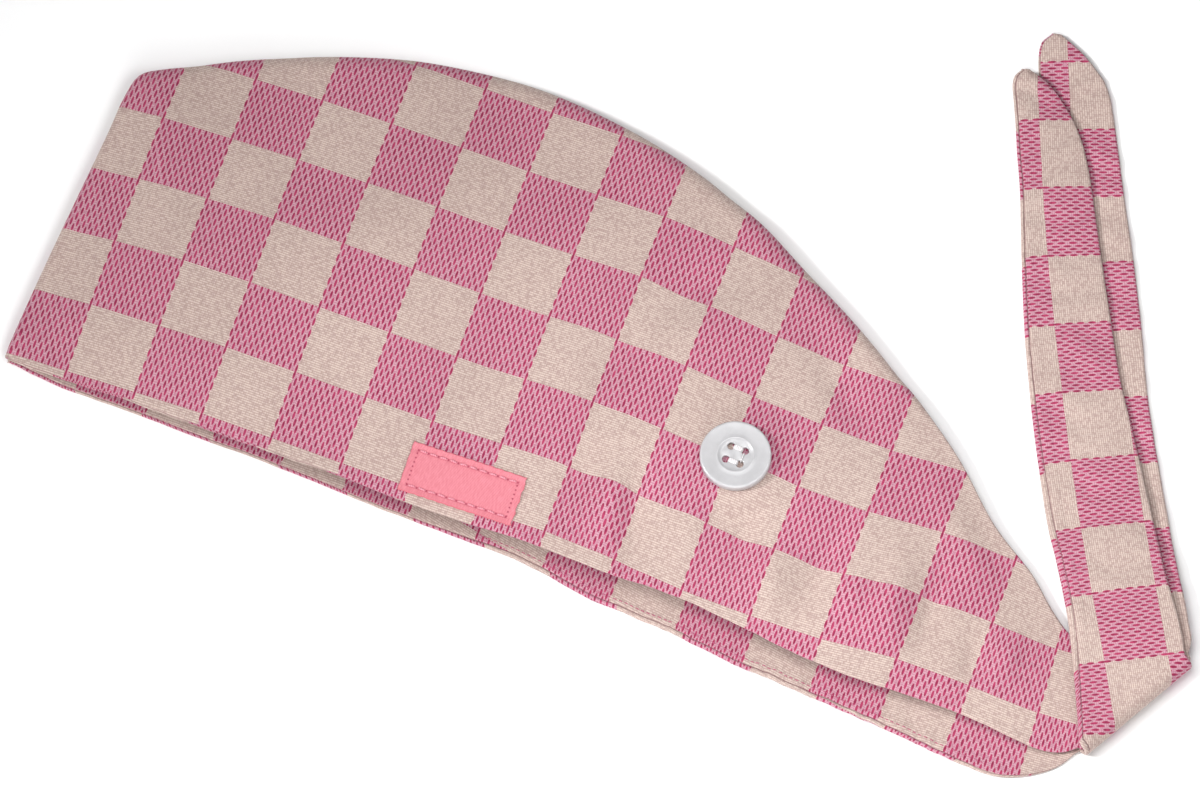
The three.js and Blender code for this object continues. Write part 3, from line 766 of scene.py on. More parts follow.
def fine_relief(half, centers, marks):
    """Small waves of the cloth; layers that lie on each other share them, and none goes below its rest."""
    x, y = centers[:, :, 0], centers[:, :, 1]
    waves, puckers, ripples = CLOTH_WAVES, TIE_PUCKERS, HEM_RIPPLES
    wave = np.array([
        [noise.noise(Vector((i / waves["along"], j / waves["up"], waves["seed"]))) for i, j in zip(*row)]
        for row in zip(x, y)
    ])
    relief = waves["height"] * (wave + waves["middle"])
    station = np.arange(len(x))[:, None]
    in_tie = station > half.crease_start + CREASE_STEPS
    away = (x * puckers["direction"][0] + y * puckers["direction"][1]) / puckers["spacing"]
    pucker = ripple(away + puckers["waver"] * wave)
    past_crease = half.outline - half.outline[half.crease_start]
    tie_share = ramp(past_crease, puckers["start"], puckers["full"])[:, None]
    crown = TIE_CROWN[half.side] * np.sin(math.pi * marks / half.lengths[:, None]) ** CROWN_POWER
    relief += (puckers["height"] * pucker + crown) * tie_share * in_tie
    if half.side == "right":
        hem_ripple = ripple(x / ripples["spacing"] + ripples["waver"] * wave)
        along = ramp(x, ripples["start"], ripples["full"]) * ramp(x, ripples["end"], ripples["fade"])
        from_hem = np.exp(-(marks / ripples["reach"]) ** 2)
        relief += ripples["height"] * hem_ripple * along * (station <= half.crease_start) * from_hem
    return relief


# Thread, stitches and label

def tube(path, radius, sides=8):
    """Round tube through points in metres, closed at both ends: corners, faces, yarn map per corner."""
    path = np.asarray(path, float)
    ahead = unit(np.gradient(path, axis=0))
    side = unit(np.cross(ahead, TUBE_REFERENCE))
    above = np.cross(side, ahead)
    radii = np.broadcast_to(radius, len(path))[:, None, None]
    angles = np.linspace(0, 2 * math.pi, sides, endpoint=False)[None, :, None]
    round_off = np.cos(angles) * side[:, None, :] + np.sin(angles) * above[:, None, :]
    corners = (path[:, None, :] + radii * round_off).reshape(-1, 3)
    run = run_lengths(path) / MM
    faces, yarn = [], []
    for k in range(len(path) - 1):
        for n in range(sides):
            after = (n + 1) % sides
            faces.append([k * sides + n, k * sides + after, (k + 1) * sides + after, (k + 1) * sides + n])
            low, high = n / sides, (n + 1) / sides
            yarn += [(run[k], low), (run[k], high), (run[k + 1], high), (run[k + 1], low)]
    for ring, places in ((0, range(sides - 1, -1, -1)), (len(path) - 1, range(sides))):
        faces.append([ring * sides + n for n in places])
        yarn += [(run[ring], n / sides) for n in places]
    return corners, faces, yarn


def tubes_piece(name, tubes):
    """One piece from many tubes."""
    corners, faces, yarn, base = [], [], [], 0
    for tube_corners, tube_faces, tube_yarn in tubes:
        corners.append(tube_corners)
        faces += [[base + n for n in face] for face in tube_faces]
        yarn += tube_yarn
        base += len(tube_corners)
    mesh = new_mesh(name, np.vstack(corners), faces)
    lay_map(mesh, "yarn", np.array(yarn))
    return new_piece(mesh)


def stitch(middle, ahead, out, length, radius):
    """One stitch in millimetres that lies on cloth, with both ends drawn in."""
    shares, lift, width = STITCH_SHAPE.T
    path = middle + np.outer(shares * length / 2, ahead) + np.outer(lift * radius, out)
    return tube(in_frame(path), width * radius * MM, 6)


def hem_stitches(half):
    """The row of small stitches beside the far hem."""
    row = HEM_STITCHES
    stitches = []
    for along in np.arange(row["start"], row["end"], row["pitch"]):
        drift = row["drift"] * noise.noise(Vector((along / row["drift_length"], *row["seeds"])))
        middle, ahead, out = half.on_cloth(along, row["from_hem"] + drift)
        turned = unit(ahead + drift * np.cross(out, ahead))
        stitches.append(stitch(middle, turned, out, row["length"], row["radius"]))
    return tubes_piece("hem_stitches", stitches)


class LabelPlace:
    """Places on the upper half, by distance along and across the label."""

    def __init__(self, cloth):
        mesh = cloth.data
        corners = [corner.co for corner in mesh.vertices]
        self.tree = BVHTree.FromPolygons(corners, [list(face.vertices) for face in mesh.polygons])
        angle = math.radians(LABEL["angle"])
        self.along = np.array([math.cos(angle), math.sin(angle), 0])
        self.across = np.array([-math.sin(angle), math.cos(angle), 0])
        self.middle = np.array([LABEL["x"], LABEL["y"], 0])

    def at(self, along, across):
        """Millimetres, on top of the cloth."""
        place = self.middle + along * self.along + across * self.across
        start = Vector(in_frame(place)) + Vector((0, 0, 1))
        place[2] = self.tree.ray_cast(start, Vector((0, 0, -1)))[0].z / MM
        return place


def label_top(place, along, across):
    """Upper face of the label: the stitches draw it down a little, and its free edges lift."""
    past_long, past_short = abs(across) - LONG_BORDER, abs(along) - SHORT_BORDER
    drawn = max(math.exp(-(past / LABEL["drawn_width"]) ** 2) for past in (past_long, past_short))
    beyond = max(past_long, past_short, 0) / LABEL["border"]
    point = place.at(along, across)
    point[2] += LABEL["lift"] + LABEL["thickness"] - LABEL["drawn"] * drawn + LABEL["curl"] * beyond ** 2
    return point


def label_places():
    """Distances along and across the label, row by row: its heat-cut edges are slightly wavy."""
    ends, sides = LABEL_ENDS, LABEL_SIDES
    places = []
    for v in 2 * np.arange(LABEL["rows"] + 1) / LABEL["rows"] - 1:
        for u in 2 * np.arange(LABEL["columns"] + 1) / LABEL["columns"] - 1:
            along, across = u * LABEL["length"] / 2, v * LABEL["width"] / 2
            wave = math.sin(2 * math.pi * across / ends["spacing"] + ends["shift"] * u)
            wave += ends["fine"] * math.sin(across * ends["fine_step"] + u)
            wave *= ends["wave"] + ends["wave_change"] * u
            side_wave = sides["wave"] * math.sin(2 * math.pi * along / sides["spacing"] + v)
            near_end = max(0, abs(u) - ends["from"]) * ends["slope"]
            near_side = max(0, abs(v) - sides["from"]) * sides["slope"]
            along += near_end * (wave * math.copysign(1, u) - ends["inset"] * u)
            across += near_side * (side_wave - sides["wave"]) * math.copysign(1, v)
            places.append((along, across))
    return np.array(places)


def label_piece(place):
    """Woven label as a closed, thin piece of cloth."""
    places = label_places()
    tops = np.array([label_top(place, along, across) for along, across in places])
    columns, rows, count = LABEL["columns"], LABEL["rows"], len(tops)
    grid = np.arange(count).reshape(rows + 1, columns + 1)
    outline = np.concatenate([grid[0], grid[1:, -1], grid[-1, -2::-1], grid[-2:0:-1, 0]]).tolist()
    thickness = np.array([0, 0, LABEL["thickness"]])
    rim = tops[outline] - thickness / 2
    rim += unit((rim - place.middle) * (1, 1, 0)) * LABEL["rim"]
    faces = []
    for corner in grid[:-1, :-1].ravel().tolist():
        quad = [corner, corner + 1, corner + columns + 2, corner + columns + 1]
        faces += [quad, [n + count for n in quad[::-1]]]
    for k, here in enumerate(outline):
        next_k = (k + 1) % len(outline)
        there, rim_here, rim_there = outline[next_k], 2 * count + k, 2 * count + next_k
        faces += [[here, rim_here, rim_there, there], [rim_here, here + count, there + count, rim_there]]
    mesh = new_mesh("label_cloth", in_frame(np.vstack([tops, tops - thickness, rim])), faces)
    lay_map(mesh, "weave", np.vstack([places, places, places[outline]])[face_corners(mesh)])
    return new_piece(mesh)


def label_stitches(place):
    """Running stitch along the label's long sides."""
    row = LABEL_STITCHES
    up = np.array([0, 0, 1])
    stitches = []
    for across in (-LONG_BORDER, LONG_BORDER):
        for number in range(row["count"]):
            along = (number - (row["count"] - 1) / 2) * row["pitch"]
            lean = row["lean"] * math.sin(row["lean_step"] * number + across)
            start = label_top(place, along - row["length"] / 2, across - lean)
            end = label_top(place, along + row["length"] / 2, across + lean)
            stitches.append(stitch((start + end) / 2, unit(end - start), up, row["length"], row["radius"]))
    return tubes_piece("label_stitches", stitches)


# Buttons

def make_active(piece):
    """Selects one piece and nothing else."""
    bpy.ops.object.select_all(action="DESELECT")
    piece.select_set(True)
    bpy.context.view_layer.objects.active = piece


def select_parts(piece, kind, wanted):
    """In edit mode, selects the wanted faces or edges and nothing else."""
    mesh = bmesh.from_edit_mesh(piece.data)
    parts = getattr(mesh, kind)
    for part in parts:
        part.select_set(False)
    for part in parts:
        if wanted(part):
            part.select_set(True)
    bmesh.update_edit_mesh(piece.data)


def bevel_edges(piece, wanted, width, segments):
    select_parts(piece, "edges", wanted)
    bpy.ops.mesh.bevel(offset=width * MM, segments=segments)


def on_circle(radius, height):
    """A test for edges that lie on a circle around the axis, in millimetres."""
    def test(edge):
        return all(
            abs(corner.co.z / MM - height) < MATCH["height"]
            and abs(math.hypot(corner.co.x, corner.co.y) / MM - radius) < MATCH["radius"]
            for corner in edge.verts
        )
    return test


def on_hole(edge):
    middle = (edge.verts[0].co + edge.verts[1].co) / 2 / MM
    away = math.hypot(abs(middle.x) - HOLE["offset"], abs(middle.y) - HOLE["offset"])
    return edge.calc_face_angle(0) > HOLE["sharp"] and abs(away - HOLE["radius"]) < MATCH["hole"]


def model_button():
    """Four-hole button, face up, its middle at the origin."""
    radius, half = BUTTON["radius"], BUTTON["thickness"] / 2
    bpy.ops.object.select_all(action="DESELECT")
    bpy.ops.mesh.primitive_cylinder_add(
        vertices=BUTTON["sides"], radius=radius * MM, depth=2 * half * MM, end_fill_type="NGON",
    )
    button = bpy.context.object
    bpy.ops.object.mode_set(mode="EDIT")
    bpy.ops.mesh.select_mode(type="FACE")
    select_parts(button, "faces", lambda face: face.normal.z > 0.9)
    before = radius
    for ring_radius, step_up in BUTTON_FACE:
        bpy.ops.mesh.inset(thickness=(before - ring_radius) * MM, depth=0)
        bpy.ops.transform.translate(value=(0, 0, step_up * MM))
        before = ring_radius
    select_parts(button, "faces", lambda face: face.normal.z < -0.9)
    bpy.ops.mesh.inset(thickness=BUTTON_HOLLOW["rim"] * MM, depth=0)
    bpy.ops.mesh.inset(thickness=BUTTON_HOLLOW["slope"] * MM, depth=0)
    bpy.ops.transform.translate(value=(0, 0, BUTTON_HOLLOW["depth"] * MM))
    bpy.ops.mesh.select_mode(type="EDGE")
    lip = half + sum(step_up for _, step_up in BUTTON_FACE[:BUTTON_LIP + 1])
    bevel_edges(button, on_circle(radius, half), BUTTON_BEVELS["face"], 5)
    bevel_edges(button, on_circle(radius, -half), BUTTON_BEVELS["back"], 5)
    bevel_edges(button, on_circle(BUTTON_FACE[BUTTON_LIP][0], lip), BUTTON_BEVELS["lip"], 3)
    bpy.ops.object.mode_set(mode="OBJECT")
    cut_holes(button)
    make_active(button)
    bpy.ops.object.shade_smooth_by_angle(angle=math.radians(BUTTON["smooth_below"]))
    return button


def cut_holes(button):
    offset = HOLE["offset"] * MM
    for x, y in ((-offset, -offset), (offset, -offset), (offset, offset), (-offset, offset)):
        bpy.ops.object.select_all(action="DESELECT")
        bpy.ops.mesh.primitive_cylinder_add(
            vertices=HOLE["sides"], radius=HOLE["radius"] * MM, depth=HOLE["depth"] * MM, location=(x, y, 0),
        )
        drill = bpy.context.object
        bpy.ops.object.transform_apply(location=True, rotation=True, scale=True)
        bpy.context.view_layer.objects.active = button
        cut = button.modifiers.new("hole", "BOOLEAN")
        cut.operation = "DIFFERENCE"
        cut.solver = "EXACT"
        cut.object = drill
        bpy.ops.object.modifier_apply(modifier="hole")
        bpy.data.objects.remove(drill, do_unlink=True)
    make_active(button)
    bpy.ops.object.mode_set(mode="EDIT")
    bpy.ops.mesh.select_mode(type="EDGE")
    bevel_edges(button, on_hole, HOLE["bevel"], 3)
    bpy.ops.object.mode_set(mode="OBJECT")


def place_button(model, name, node, turned):
    """A copy with its own mesh, where the CAD has the button; the lower one faces down."""
    low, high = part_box(node)
    button = model.copy()
    button.data = model.data.copy()
    button.name = name
    bpy.context.scene.collection.objects.link(button)
    turn = Matrix.Rotation(math.pi, 4, "X") if turned else Matrix.Identity(4)
    button.data.transform(Matrix.Translation((low + high) / 2) @ turn)
    return button


def button_thread(name, node, turned):
    """Strands of thread through the holes: two bars along the hem and a thin one across."""
    low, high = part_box(node)
    middle = np.array((low + high) / 2) / MM
    bar = THREAD_PATH
    base = -BUTTON["thickness"] / 2 - bar["below"]
    top = BUTTON["thickness"] / 2 + sum(step_up for _, step_up in BUTTON_FACE) + bar["above"]
    face_down = np.array([1, -1, -1]) if turned else 1
    tubes = []
    for start, end, strands, spread, radius in THREAD_BARS:
        start, end = np.array(start) * HOLE["offset"], np.array(end) * HOLE["offset"]
        ahead = unit(end - start)
        aside = np.array([-ahead[1], ahead[0]])
        for strand in range(strands):
            shift = (strand - (strands - 1) / 2) * spread
            path = []
            for share in np.linspace(0, 1, bar["steps"] + 1):
                run = ramp(share, bar["over_from"], bar["over_to"])
                rise = ramp(share, 0, bar["rise"]) * ramp(share, 1, 1 - bar["rise"])
                arch = math.sin(math.pi * run)
                place = mix(start, end, run) + aside * shift * (bar["close"] + bar["spread"] * arch)
                place = place + ahead * bar["inset"] * (1 - 2 * run)
                height = mix(base, top, rise) + (bar["arch"] - bar["lower"] * abs(shift)) * arch
                path.append((*place, height))
            tubes.append(tube((np.array(path) * face_down + middle) * MM, radius * MM))
    return tubes_piece(name, tubes)


# Materials

def tint(red, green, blue):
    """A colour in the 0 to 255 numbers of a paint chart, as the light that it reflects."""
    shares = [value / 255 for value in (red, green, blue)]
    return tuple(s / 12.92 if s <= 0.04045 else ((s + 0.055) / 1.055) ** 2.4 for s in shares) + (1,)


class Value:
    """What a node gives. Sums and products of values make the math nodes for them."""

    def __init__(self, finish, socket):
        self.finish, self.socket = finish, socket

    def __add__(self, other):
        return self.finish.math("ADD", self, other)

    def __sub__(self, other):
        return self.finish.math("SUBTRACT", self, other)

    def __rsub__(self, other):
        return self.finish.math("SUBTRACT", other, self)

    def __mul__(self, other):
        return self.finish.math("MULTIPLY", self, other)

    def __abs__(self):
        return self.finish.math("ABSOLUTE", self)


class Finish:
    """A material and short ways to lay its nodes."""

    def __init__(self, name, roughness, **shader_values):
        self.material = bpy.data.materials.new(name)
        self.material.use_nodes = True
        self.nodes = self.material.node_tree.nodes
        self.shader = self.nodes["Principled BSDF"]
        self.shader.inputs["Roughness"].default_value = roughness
        for socket, value in shader_values.items():
            self.shader.inputs[socket.replace("_", " ")].default_value = value

    def feed(self, socket, value):
        if isinstance(value, Value):
            self.material.node_tree.links.new(value.socket, socket)
        else:
            socket.default_value = value

    def lay(self, kind, inputs, output=0, **settings):
        """A new node with its settings and inputs, as the value at one output."""
        node = self.nodes.new(kind)
        for key, value in settings.items():
            setattr(node, key, value)
        for socket, value in inputs.items():
            self.feed(node.inputs[socket], value)
        return Value(self, node.outputs[output])

    def math(self, operation, *values):
        return self.lay("ShaderNodeMath", dict(enumerate(values)), operation=operation)

    def larger(self, a, b):
        return self.math("MAXIMUM", a, b)

    def fade(self, value, low, high, at_low=0.0, at_high=1.0):
        """Smooth change from at_low to at_high as the value goes from low to high."""
        numbers = dict(enumerate((value, low, high, at_low, at_high)))
        return self.lay("ShaderNodeMapRange", numbers, interpolation_type="SMOOTHSTEP")

    def blend(self, share, a, b):
        """Colour a where the share is 0, colour b where it is 1."""
        return self.lay("ShaderNodeMix", {"Factor": share, 6: a, 7: b}, 2, data_type="RGBA")

    def noise(self, place, detail, scale=1.0):
        inputs = {"Vector": place, "Scale": scale, "Detail": detail}
        return self.lay("ShaderNodeTexNoise", inputs, "Fac", noise_dimensions="3D")

    def speckle(self, x, y, detail, scale=1.0):
        """Noise over a plane."""
        return self.noise(self.lay("ShaderNodeCombineXYZ", {0: x, 1: y}), detail, scale)

    def solid_noise(self, scale, detail):
        """Noise through the piece, at its own coordinates in metres."""
        place = self.lay("ShaderNodeTexCoord", {}, "Object")
        return self.noise(self.lay("ShaderNodeMapping", {0: place, "Scale": (scale, scale, scale)}), detail)

    def coordinates(self, layer):
        """Both numbers of a UV map."""
        place = self.lay("ShaderNodeUVMap", {}, uv_map=layer)
        return [self.lay("ShaderNodeSeparateXYZ", {0: place}, number) for number in (0, 1)]

    def finished(self, colour, height, depth):
        """Colour and surface relief, the relief's depth in metres."""
        self.feed(self.shader.inputs["Base Color"], colour)
        bumped = self.lay("ShaderNodeBump", {"Height": height, "Distance": depth})
        self.feed(self.shader.inputs["Normal"], bumped)
        return self.material


# Woven dashes of the darker checks, in millimetres
DASH = {"length": 2.95, "width": 0.86, "taper": 0.52, "inset": 0.03, "columns": 22, "rows": 11, "edge": 0.08,
        "outline": (0.1, 0.26), "wander": 0.16, "wander_scale": 2.2}
DARK_DASH = tint(162, 54, 90)
DEEP_DASH = tint(133, 35, 69)
DARK_GROUND = tint(165, 109, 128)
DARK_OUTLINE = tint(199, 158, 168)
LIGHT_GROUND = tint(199, 181, 171)
LIGHT_STREAK = tint(155, 131, 126)
# painted shade for the groove of the seam line
SEAM_PAINTED_SHADE = tint(110, 72, 79)
THREAD_PITCH = {"warp": 0.7, "weft": 0.74}
STREAK = {"length": 1.1, "apart": 5.7}

LABEL_PINK = tint(203, 115, 127)
LABEL_PALE = tint(211, 128, 139)
LABEL_SHADE = tint(177, 85, 102)
# dark dots of the short sides' stitching, and painted shade in the needle holes and beside the yarn
LABEL_DOTS_AND_SHADE = tint(150, 40, 70)
LABEL_EDGE = tint(198, 89, 103)
LABEL_WEAVE = {"twill": 0.62, "ribs": 0.3}
LABEL_DOTS = {"pitch": 1.5, "start": 0.4}
BESIDE_YARN = 0.38
BUTTON_WHITE = tint(181, 180, 182)
BUTTON_SHADE = tint(173, 172, 174)

# Depth of the relief that a material gives to its surface, in metres
COTTON_DEPTH, YARN_DEPTH, LABEL_DEPTH, PLASTIC_DEPTH = 0.00007, 0.00006, 0.00004, 0.00002


def odd_or_even(cotton, number):
    """1 for an even number, 0 for an odd one."""
    return 1.0 - cotton.math("FLOORED_MODULO", number, 2.0)


def dash_layer(cotton, column, row_in_check, check_row, offset):
    """One of the two staggered sets of dashes: whether it is dark, and the distance to the nearest dash."""
    across = column * DASH["columns"]
    down = row_in_check * DASH["rows"] - 0.5

    def nearest(value):
        return cotton.math("ROUND", (value - offset) * 0.5) * 2.0 + offset

    def is_dark(shift):
        check = cotton.math("FLOOR", (center_column + shift) * (1 / DASH["columns"]))
        return odd_or_even(cotton, check + check_row)

    center_column, center_row = nearest(across), nearest(down)
    side = (across - center_column) * (CHECK_LENGTH / DASH["columns"])
    along = (down - center_row) * (CHECK_HEIGHT / DASH["rows"])
    share = along * (2 / DASH["length"])
    half_width = cotton.math("POWER", cotton.larger(1.0 - share * share, 0.0), DASH["taper"])
    beyond = cotton.larger(abs(along) - DASH["length"] / 2, 0.0)
    away = abs(side) - half_width * (DASH["width"] / 2) + beyond + DASH["inset"]
    return cotton.larger(is_dark(0.5), is_dark(-0.5)), away


def checked_cotton():
    cotton = Finish("checked_cotton", 0.86, Sheen_Weight=0.18, Sheen_Roughness=0.45, Specular_IOR_Level=0.22)
    column, row = cotton.coordinates("print")
    check_row = cotton.math("FLOOR", row)
    dark_check = odd_or_even(cotton, cotton.math("FLOOR", column) + check_row)
    x, y = column * CHECK_LENGTH, row * CHECK_HEIGHT

    dashes, outlines = [], []
    wander = (cotton.speckle(x, y, 1.0, DASH["wander_scale"]) - 0.5) * DASH["wander"]
    for offset in (0, 1):
        dark, away = dash_layer(cotton, column, row - check_row, check_row, offset)
        away = away + wander
        dashes.append(dark * cotton.fade(away, -DASH["edge"], DASH["edge"], 1.0, 0.0))
        outlines.append(dark * cotton.fade(away, *DASH["outline"], 1.0, 0.0))
    dash, outline = cotton.larger(*dashes), cotton.larger(*outlines)

    weft_row = y * (1 / THREAD_PITCH["weft"])
    weft_number = cotton.math("FLOOR", weft_row)
    streaks = cotton.speckle(x * (1 / STREAK["length"]), weft_number * STREAK["apart"], 2.0)
    warp = cotton.math("SINE", x * (2 * math.pi / THREAD_PITCH["warp"]))
    weft = abs(cotton.math("SINE", weft_row * math.pi))
    weave = weft * cotton.fade(streaks, 0.32, 0.62, 0.25, 1.0)
    light_share = weave + warp * 0.1
    light = cotton.blend(light_share, LIGHT_STREAK, LIGHT_GROUND)
    dark = cotton.blend(light_share * 0.7, DARK_GROUND, DARK_OUTLINE)
    colour = cotton.blend(dark_check, light, dark)
    colour = cotton.blend(outline * 0.45, colour, DARK_OUTLINE)
    deep = cotton.fade(cotton.speckle(x * 0.9, y * 0.55, 1.0), 0.35, 0.65)
    colour = cotton.blend(dash, colour, cotton.blend(deep, DARK_DASH, DEEP_DASH))

    along_seam, from_seam = cotton.coordinates("seam")
    # Painted shade in the groove of the seam line, darkest on the line and gone a quarter millimetre from it
    colour = cotton.blend(cotton.fade(abs(from_seam), 0.04, 0.28, 0.7, 0.0), colour, SEAM_PAINTED_SHADE)
    pulls = cotton.speckle(along_seam * 0.5, from_seam * 0.25, 2.0)
    pulls = pulls * cotton.fade(abs(from_seam), 1.5, 5.0, 5.0, 0.0)

    tone = cotton.fade(cotton.speckle(x * 0.02, y * 0.02, 1.0), 0.3, 0.7, 0.965, 1.035)
    colour = cotton.lay("ShaderNodeHueSaturation", {"Value": tone, "Color": colour})
    height = weave * 0.7 + dash * 0.5 + warp * 0.1 + pulls
    return cotton.finished(colour, height, COTTON_DEPTH)


def near(finish, value, pitch, start=0.0):
    """Distance to the nearest of evenly spaced marks."""
    steps = (value - start) * (1 / pitch)
    return abs(steps - finish.math("ROUND", steps)) * pitch


def label_satin():
    satin = Finish("label_satin", 0.62, Sheen_Weight=0.25, Sheen_Roughness=0.4, Specular_IOR_Level=0.3)
    along, across = satin.coordinates("weave")
    far_along, far_across = abs(along), abs(across)
    twill = satin.math("SINE", (along + across) * (2 * math.pi / LABEL_WEAVE["twill"]))
    ribs = satin.math("SINE", along * (2 * math.pi / LABEL_WEAVE["ribs"]))
    mottle = satin.speckle(along * 1.6, across * 0.5, 3.0)
    colour = satin.blend(satin.fade(mottle, 0.3, 0.7), LABEL_PINK, LABEL_PALE)
    colour = satin.blend(satin.fade(twill, 0.2, 1.0, 0.0, 0.3), colour, LABEL_SHADE)

    # Painted shade in the needle holes and a painted shadow beside the yarn along the long sides, a dotted
    # line of stitching along the short ones
    from_long, from_short = abs(far_across - LONG_BORDER), abs(far_along - SHORT_BORDER)
    inside_along = satin.fade(far_along, SHORT_BORDER + 0.3, SHORT_BORDER + 0.6, 1.0, 0.0)
    inside_across = satin.fade(far_across, LONG_BORDER + 0.3, LONG_BORDER + 0.6, 1.0, 0.0)
    needle = satin.larger(near(satin, along, LABEL_STITCHES["pitch"]), from_long)
    dots = satin.larger(near(satin, across, LABEL_DOTS["pitch"], LABEL_DOTS["start"]), from_short)
    holes = satin.fade(needle, 0.2, 0.4, 0.85, 0.0) * inside_along
    row_shade = satin.fade(abs(from_long - BESIDE_YARN), 0.02, 0.2, 0.3, 0.0) * inside_along
    dotted = satin.fade(dots, 0.16, 0.36, 0.85, 0.0) * inside_across
    marks = satin.larger(satin.larger(holes, row_shade), dotted)
    colour = satin.blend(marks, colour, LABEL_DOTS_AND_SHADE)

    edge = satin.math("MINIMUM", LABEL["width"] / 2 - far_across, LABEL["length"] / 2 - far_along)
    colour = satin.blend(satin.fade(edge, 0.1, 0.5, 0.55, 0.0), colour, LABEL_EDGE)
    height = twill * 0.6 + ribs * 0.25 + mottle * 0.1 - marks * 2.5
    return satin.finished(colour, height, LABEL_DEPTH)


def twisted_yarn(name, light, shade):
    yarn = Finish(name, 0.7, Sheen_Weight=0.3, Sheen_Roughness=0.4)
    run, around = yarn.coordinates("yarn")
    # The shade colour is painted shade in the grooves of the twist; the fuzz also darkens it here and there at
    # random
    twist = yarn.math("SINE", (run * 1.6 + around) * (2 * math.pi))
    fuzz = yarn.solid_noise(2600.0, 2.0)
    share = yarn.fade(twist, -1.0, 0.4, 0.75, 0.0) + yarn.fade(fuzz, 0.35, 0.7, 0.0, 0.3)
    return yarn.finished(yarn.blend(share, light, shade), twist + fuzz, YARN_DEPTH)


def button_plastic():
    """Glossy white with the faint cloudiness of moulded polyester."""
    plastic = Finish(
        "button_plastic", 0.3, Coat_Weight=0.3, Coat_Roughness=0.15, IOR=1.5, Subsurface_Weight=0.5,
        Subsurface_Radius=(1, 1, 1), Subsurface_Scale=0.0015,
    )
    cloud = plastic.solid_noise(240.0, 3.0)
    fine = plastic.solid_noise(2400.0, 2.0)
    colour = plastic.blend(plastic.fade(cloud, 0.3, 0.7), BUTTON_WHITE, BUTTON_SHADE)
    plastic.feed(plastic.shader.inputs["Roughness"], plastic.fade(fine, 0.3, 0.7, 0.28, 0.38))
    return plastic.finished(colour, cloud + fine * 0.15, PLASTIC_DEPTH)


def floor_finish():
    pale = Finish("pale_floor", 0.9, Specular_IOR_Level=0.1)
    colour = pale.blend(pale.solid_noise(3.0, 2.0), tint(246, 246, 246), tint(250, 250, 250))
    pale.feed(pale.shader.inputs["Base Color"], colour)
    return pale.material


# Stage

PHOTO = {"width": 1200, "pixels_per_mm": 3.12, "turn": 21.4, "elevation": 69.0}
PHOTO_MIDDLE = (183.1, 55.5, 0.0)  # what the photograph's middle shows on the surface
TAIL_PLACE = (335, 0, 0)
BRIGHTEST_PLACE = (285, 25, 0)
CAMERA_DISTANCE = 8.0  # metres
SENSOR = 36.0
FLOOR_SIZE = 8  # metres
SKY_LIGHT = 0.3

# Lamps: directions are shares of the camera's right and up and of straight up; the rest in metres and watts
KEY = {"direction": (-0.85, -0.12, 0.87), "distance": 3.6, "radius": 0.5, "cone": 12.4, "power": 1300}
NEAR_LAMP = {"height": 0.32, "size": 0.25, "power": 0.75}
FRONT_FILL = {"direction": (0.1, -1.0, 0.75), "distance": 2.0, "size": 1.6, "power": 24}


def camera_axes():
    """Right, up and towards the camera."""
    turn, rise = math.radians(PHOTO["turn"]), math.radians(PHOTO["elevation"])
    back = Vector((math.sin(turn) * math.cos(rise), -math.cos(turn) * math.cos(rise), math.sin(rise)))
    right = Vector((math.cos(turn), math.sin(turn), 0))
    return right, back.cross(right), back


def add_camera():
    back = camera_axes()[2]
    camera = bpy.data.objects.new("camera", bpy.data.cameras.new("camera"))
    bpy.context.scene.collection.objects.link(camera)
    camera.location = Vector(in_frame(PHOTO_MIDDLE)) + back * CAMERA_DISTANCE
    camera.rotation_euler = (math.radians(90 - PHOTO["elevation"]), 0, math.radians(PHOTO["turn"]))
    seen_width = PHOTO["width"] / PHOTO["pixels_per_mm"] * MM
    camera.data.sensor_width = SENSOR
    camera.data.lens = SENSOR * CAMERA_DISTANCE / seen_width
    bpy.context.scene.camera = camera


def add_lamp(name, kind, place, target, **settings):
    """A lamp at a place, turned towards a target."""
    lamp = bpy.data.objects.new(name, bpy.data.lights.new(name, kind))
    for key, value in settings.items():
        setattr(lamp.data, key, value)
    bpy.context.scene.collection.objects.link(lamp)
    lamp.location = place
    lamp.rotation_euler = (target - place).to_track_quat("-Z", "Y").to_euler()


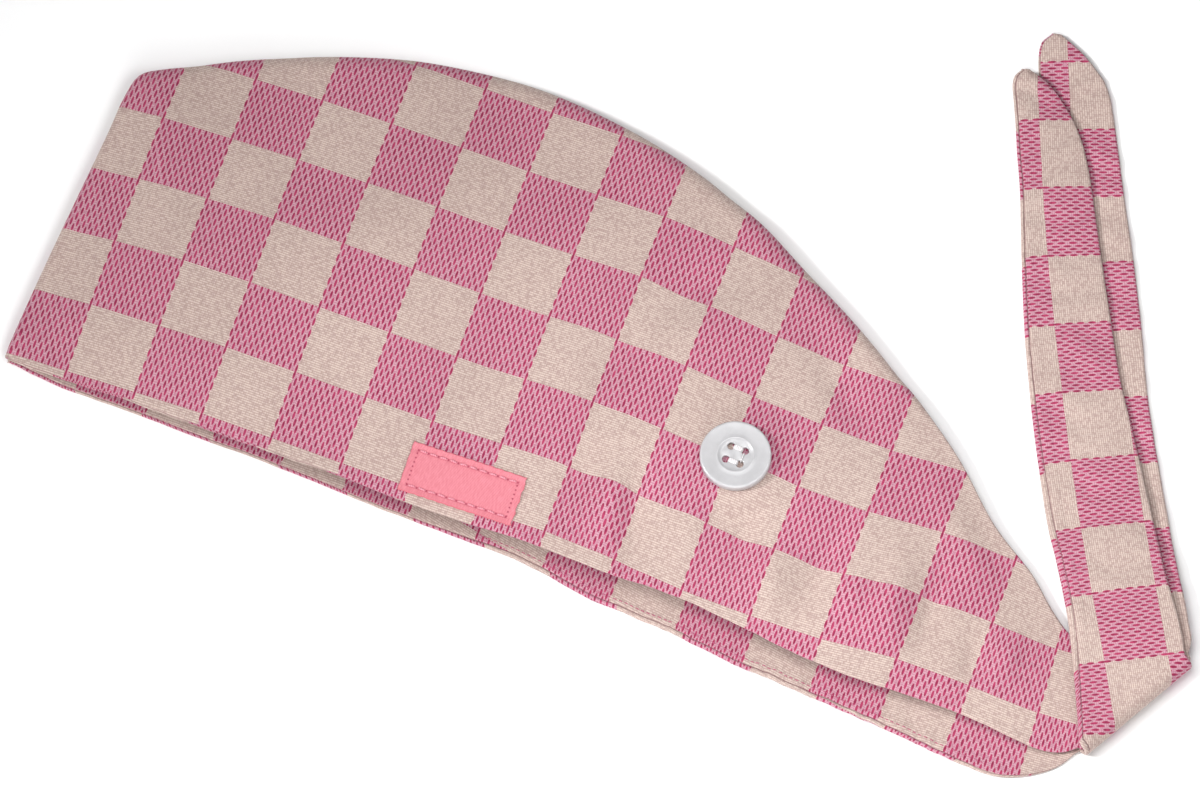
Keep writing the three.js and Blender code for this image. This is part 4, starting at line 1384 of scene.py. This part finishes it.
def add_stage():
    bpy.ops.object.select_all(action="DESELECT")
    bpy.ops.mesh.primitive_grid_add(x_subdivisions=8, y_subdivisions=8, size=FLOOR_SIZE)
    floor = bpy.context.object
    floor.name = "floor"
    floor.data.materials.append(floor_finish())
    right, up, _ = camera_axes()
    overhead = Vector((0, 0, 1))
    middle, tail, brightest = (Vector(in_frame(p)) for p in (PHOTO_MIDDLE, TAIL_PLACE, BRIGHTEST_PLACE))

    def from_middle(lamp):
        a, b, c = lamp["direction"]
        return middle + (right * a + up * b + overhead * c).normalized() * lamp["distance"]

    # The key lamp's light grows weaker towards the rim of its cone
    add_lamp("key", "SPOT", from_middle(KEY), tail, shadow_soft_size=KEY["radius"],
             spot_size=math.radians(KEY["cone"]), spot_blend=1, energy=KEY["power"])
    add_lamp("near_lamp", "AREA", brightest + overhead * NEAR_LAMP["height"], brightest, shape="DISK",
             size=NEAR_LAMP["size"], energy=NEAR_LAMP["power"])
    add_lamp("front_fill", "AREA", from_middle(FRONT_FILL), middle, shape="DISK",
             size=FRONT_FILL["size"], energy=FRONT_FILL["power"])
    world = bpy.data.worlds.new("studio")
    world.use_nodes = True
    background = world.node_tree.nodes["Background"]
    background.inputs["Color"].default_value = (1, 1, 1, 1)
    background.inputs["Strength"].default_value = SKY_LIGHT
    bpy.context.scene.world = world
    bpy.context.scene.view_settings.view_transform = "Standard"


def finish_piece(piece, material, slot, *nodes):
    piece.data.materials.clear()
    piece.data.materials.append(material)
    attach(piece, "root")
    if nodes:
        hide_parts(*nodes)


def build_halves():
    spine = Spine()
    cotton = checked_cotton()
    halves, cloths = {}, {}
    for side in HALF_SIZES:
        halves[side] = Half(side)
        cloths[side] = cloth_piece(halves[side], spine, f"{side}_cloth")
        finish_piece(cloths[side], cotton, "check_cloth", f"side_{side}")
    return halves, cloths


def build_trims(halves, cloths):
    # each yarn: its own colour, then the colour of the painted shade in its twist
    hem_yarn = twisted_yarn("hem_yarn", tint(189, 88, 125), tint(147, 53, 88))
    label_yarn = twisted_yarn("label_yarn", tint(228, 154, 167), tint(206, 116, 136))
    button_yarn = twisted_yarn("button_yarn", tint(232, 229, 229), tint(200, 195, 198))
    stitches = hem_stitches(halves["right"])
    finish_piece(stitches, hem_yarn, "thread")
    place = LabelPlace(cloths["left"])
    label = label_piece(place)
    finish_piece(label, label_satin(), "label_cloth", "label")
    border = label_stitches(place)
    finish_piece(border, label_yarn, "thread")
    plastic = button_plastic()
    model = model_button()
    for side, turned in (("left", False), ("right", True)):
        button = place_button(model, f"{side}_button", f"button_{side}", turned)
        finish_piece(button, plastic, "plastic", f"button_{side}")
        yarn = button_thread(f"{side}_button_thread", f"button_{side}", turned)
        finish_piece(yarn, button_yarn, "thread", f"thread_{side}")
    bpy.data.objects.remove(model, do_unlink=True)


add_camera()
build_trims(*build_halves())
add_stage()
